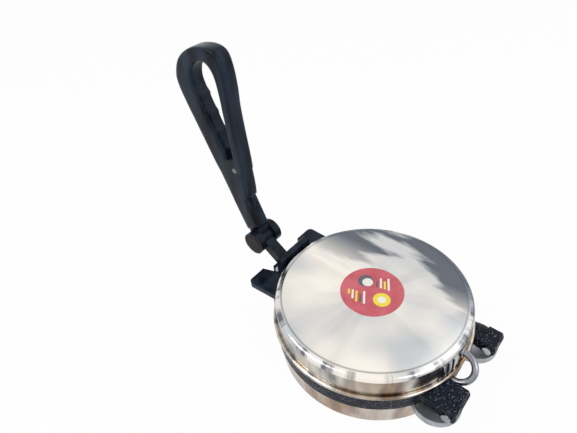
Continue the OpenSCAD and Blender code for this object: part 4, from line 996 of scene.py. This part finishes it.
class Studio:
    """Pale floor, soft light and the camera of the photograph."""

    FOCAL = 470.2
    PHOTO_WIDTH = 577
    EYE = Vector((325.8, 190.7, 526.0))
    AHEAD = Vector((-0.555, -0.536, -0.637))
    UPWARD = Vector((-0.527, -0.365, 0.767))
    FLOOR_HALF = 3.0
    FLOOR_GLOW = 0.96
    SENSOR = 36.0
    CLIP = (0.01, 20.0)
    # Lamps as name, place, size, power and the height that they aim at, on the plates' axis
    LAMPS = (("key", (0.9, -0.7, 1.4), 0.9, 13.0, 0.05),
             ("fill", (-0.9, 0.7, 1.1), 1.6, 5.5, 0.05),
             ("rear", (0.2, 1.3, 0.9), 0.8, 6.0, 0.08))
    WORLD_TONE = "e8eaee"
    WORLD_STRENGTH = 0.5

    def __init__(self, layout: Layout) -> None:
        """Keeps the layout.

        Args:
            layout: places read from the model.
        """
        self.layout = layout

    def camera(self) -> None:
        """Places the camera where the photograph was taken from."""
        data = bpy.data.cameras.new("photo_camera")
        data.sensor_width = self.SENSOR
        data.lens = self.FOCAL / self.PHOTO_WIDTH * data.sensor_width
        data.dof.use_dof = False
        data.clip_start, data.clip_end = self.CLIP
        camera = bpy.data.objects.new("photo_camera", data)
        back = -self.AHEAD.normalized()
        right = self.UPWARD.cross(back).normalized()
        up = back.cross(right)
        turn = Matrix((right, up, back)).transposed().to_4x4()
        camera.matrix_world = Matrix.Translation(self.EYE * MM + self.layout.axis) @ turn
        bpy.context.scene.collection.objects.link(camera)
        bpy.context.scene.camera = camera

    def lights(self) -> None:
        """Hangs large soft lamps over and beside the object."""
        for name, place, size, power, height in self.LAMPS:
            data = bpy.data.lights.new(name, "AREA")
            data.size, data.energy = size, power
            lamp = bpy.data.objects.new(name, data)
            lamp.location = Vector(place) + self.layout.axis
            back = lamp.location - Vector((0.0, 0.0, height)) - self.layout.axis
            lamp.rotation_euler = back.to_track_quat("Z", "Y").to_euler()
            bpy.context.scene.collection.objects.link(lamp)

    def surroundings(self) -> None:
        """Makes the world white where it is seen or mirrored, and soft grey light to the rest."""
        world = bpy.data.worlds.new("studio")
        bpy.context.scene.world = world
        g = Graph(world)
        seen = g.add("Background", {"Color": linear("ffffff")})
        lit = g.add("Background", {"Color": linear(self.WORLD_TONE), "Strength": self.WORLD_STRENGTH})
        g.add("OutputWorld", {"Surface": g.add("MixShader", (self.seen_share(g), lit, seen))})
        bpy.context.scene.view_settings.view_transform = "Standard"

    @staticmethod
    def seen_share(g: Graph) -> bpy.types.Node:
        """Tells rays that show a surface from rays that only light another.

        Args:
            g: the node tree that the nodes go in.

        Returns:
            1 for rays from the camera, mirrored rays and rays through glass, and 0 for the rest.
        """
        rays = g.add("LightPath").outputs
        direct = g.add("Math", (rays["Is Camera Ray"], rays["Is Glossy Ray"]), operation="MAXIMUM")
        return g.add("Math", (direct, rays["Is Transmission Ray"]), operation="MAXIMUM")

    def floor(self) -> None:
        """Lays a pale floor that keeps a faint shadow and looks white to the camera."""
        g = Graph(bpy.data.materials.new("pale_floor"))
        matt = g.add("BsdfPrincipled", {
            "Base Color": linear("f4f4f4"), "Roughness": 0.9, "Specular IOR Level": 0.0})
        glow = g.add("Emission", {"Color": linear("ffffff"), "Strength": 1.0})
        share = g.add("Math", (self.seen_share(g), self.FLOOR_GLOW), operation="MULTIPLY")
        g.add("OutputMaterial", {"Surface": g.add("MixShader", (share, matt, glow))})
        half = self.FLOOR_HALF
        mesh = bpy.data.meshes.new("floor")
        corners = [(-half, -half, 0), (half, -half, 0), (half, half, 0), (-half, half, 0)]
        mesh.from_pydata(corners, [], [(0, 1, 2, 3)])
        mesh.materials.append(g.owner)
        floor = bpy.data.objects.new("floor", mesh)
        bpy.context.scene.collection.objects.link(floor)


def write_size() -> None:
    """Updates the scene's view layer."""
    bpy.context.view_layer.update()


def main() -> None:
    """Builds the looks in order and reports each step."""
    logging.basicConfig(level=logging.INFO, format="%(message)s")
    layout = Layout.read()
    write_size()
    finishes = Finishes(layout)
    finishes.dress(frame["nodes"], frame["record"])
    LOG.info("finishes: %d nodes", len(frame["nodes"]))
    SoftEdges().build([frame["nodes"][name] for name in ("press_bracket", "lever_crank")])
    Conduit().build(layout, finishes)
    shell = HandleShell()
    shell.build(layout, finishes)
    ScrewFace().build(shell, layout, finishes)
    studio = Studio(layout)
    studio.camera()
    studio.lights()
    studio.surroundings()
    studio.floor()
    LOG.info("studio: camera at %s", tuple(round(c, 3) for c in bpy.context.scene.camera.location))


if __name__ == "__main__":
    main()
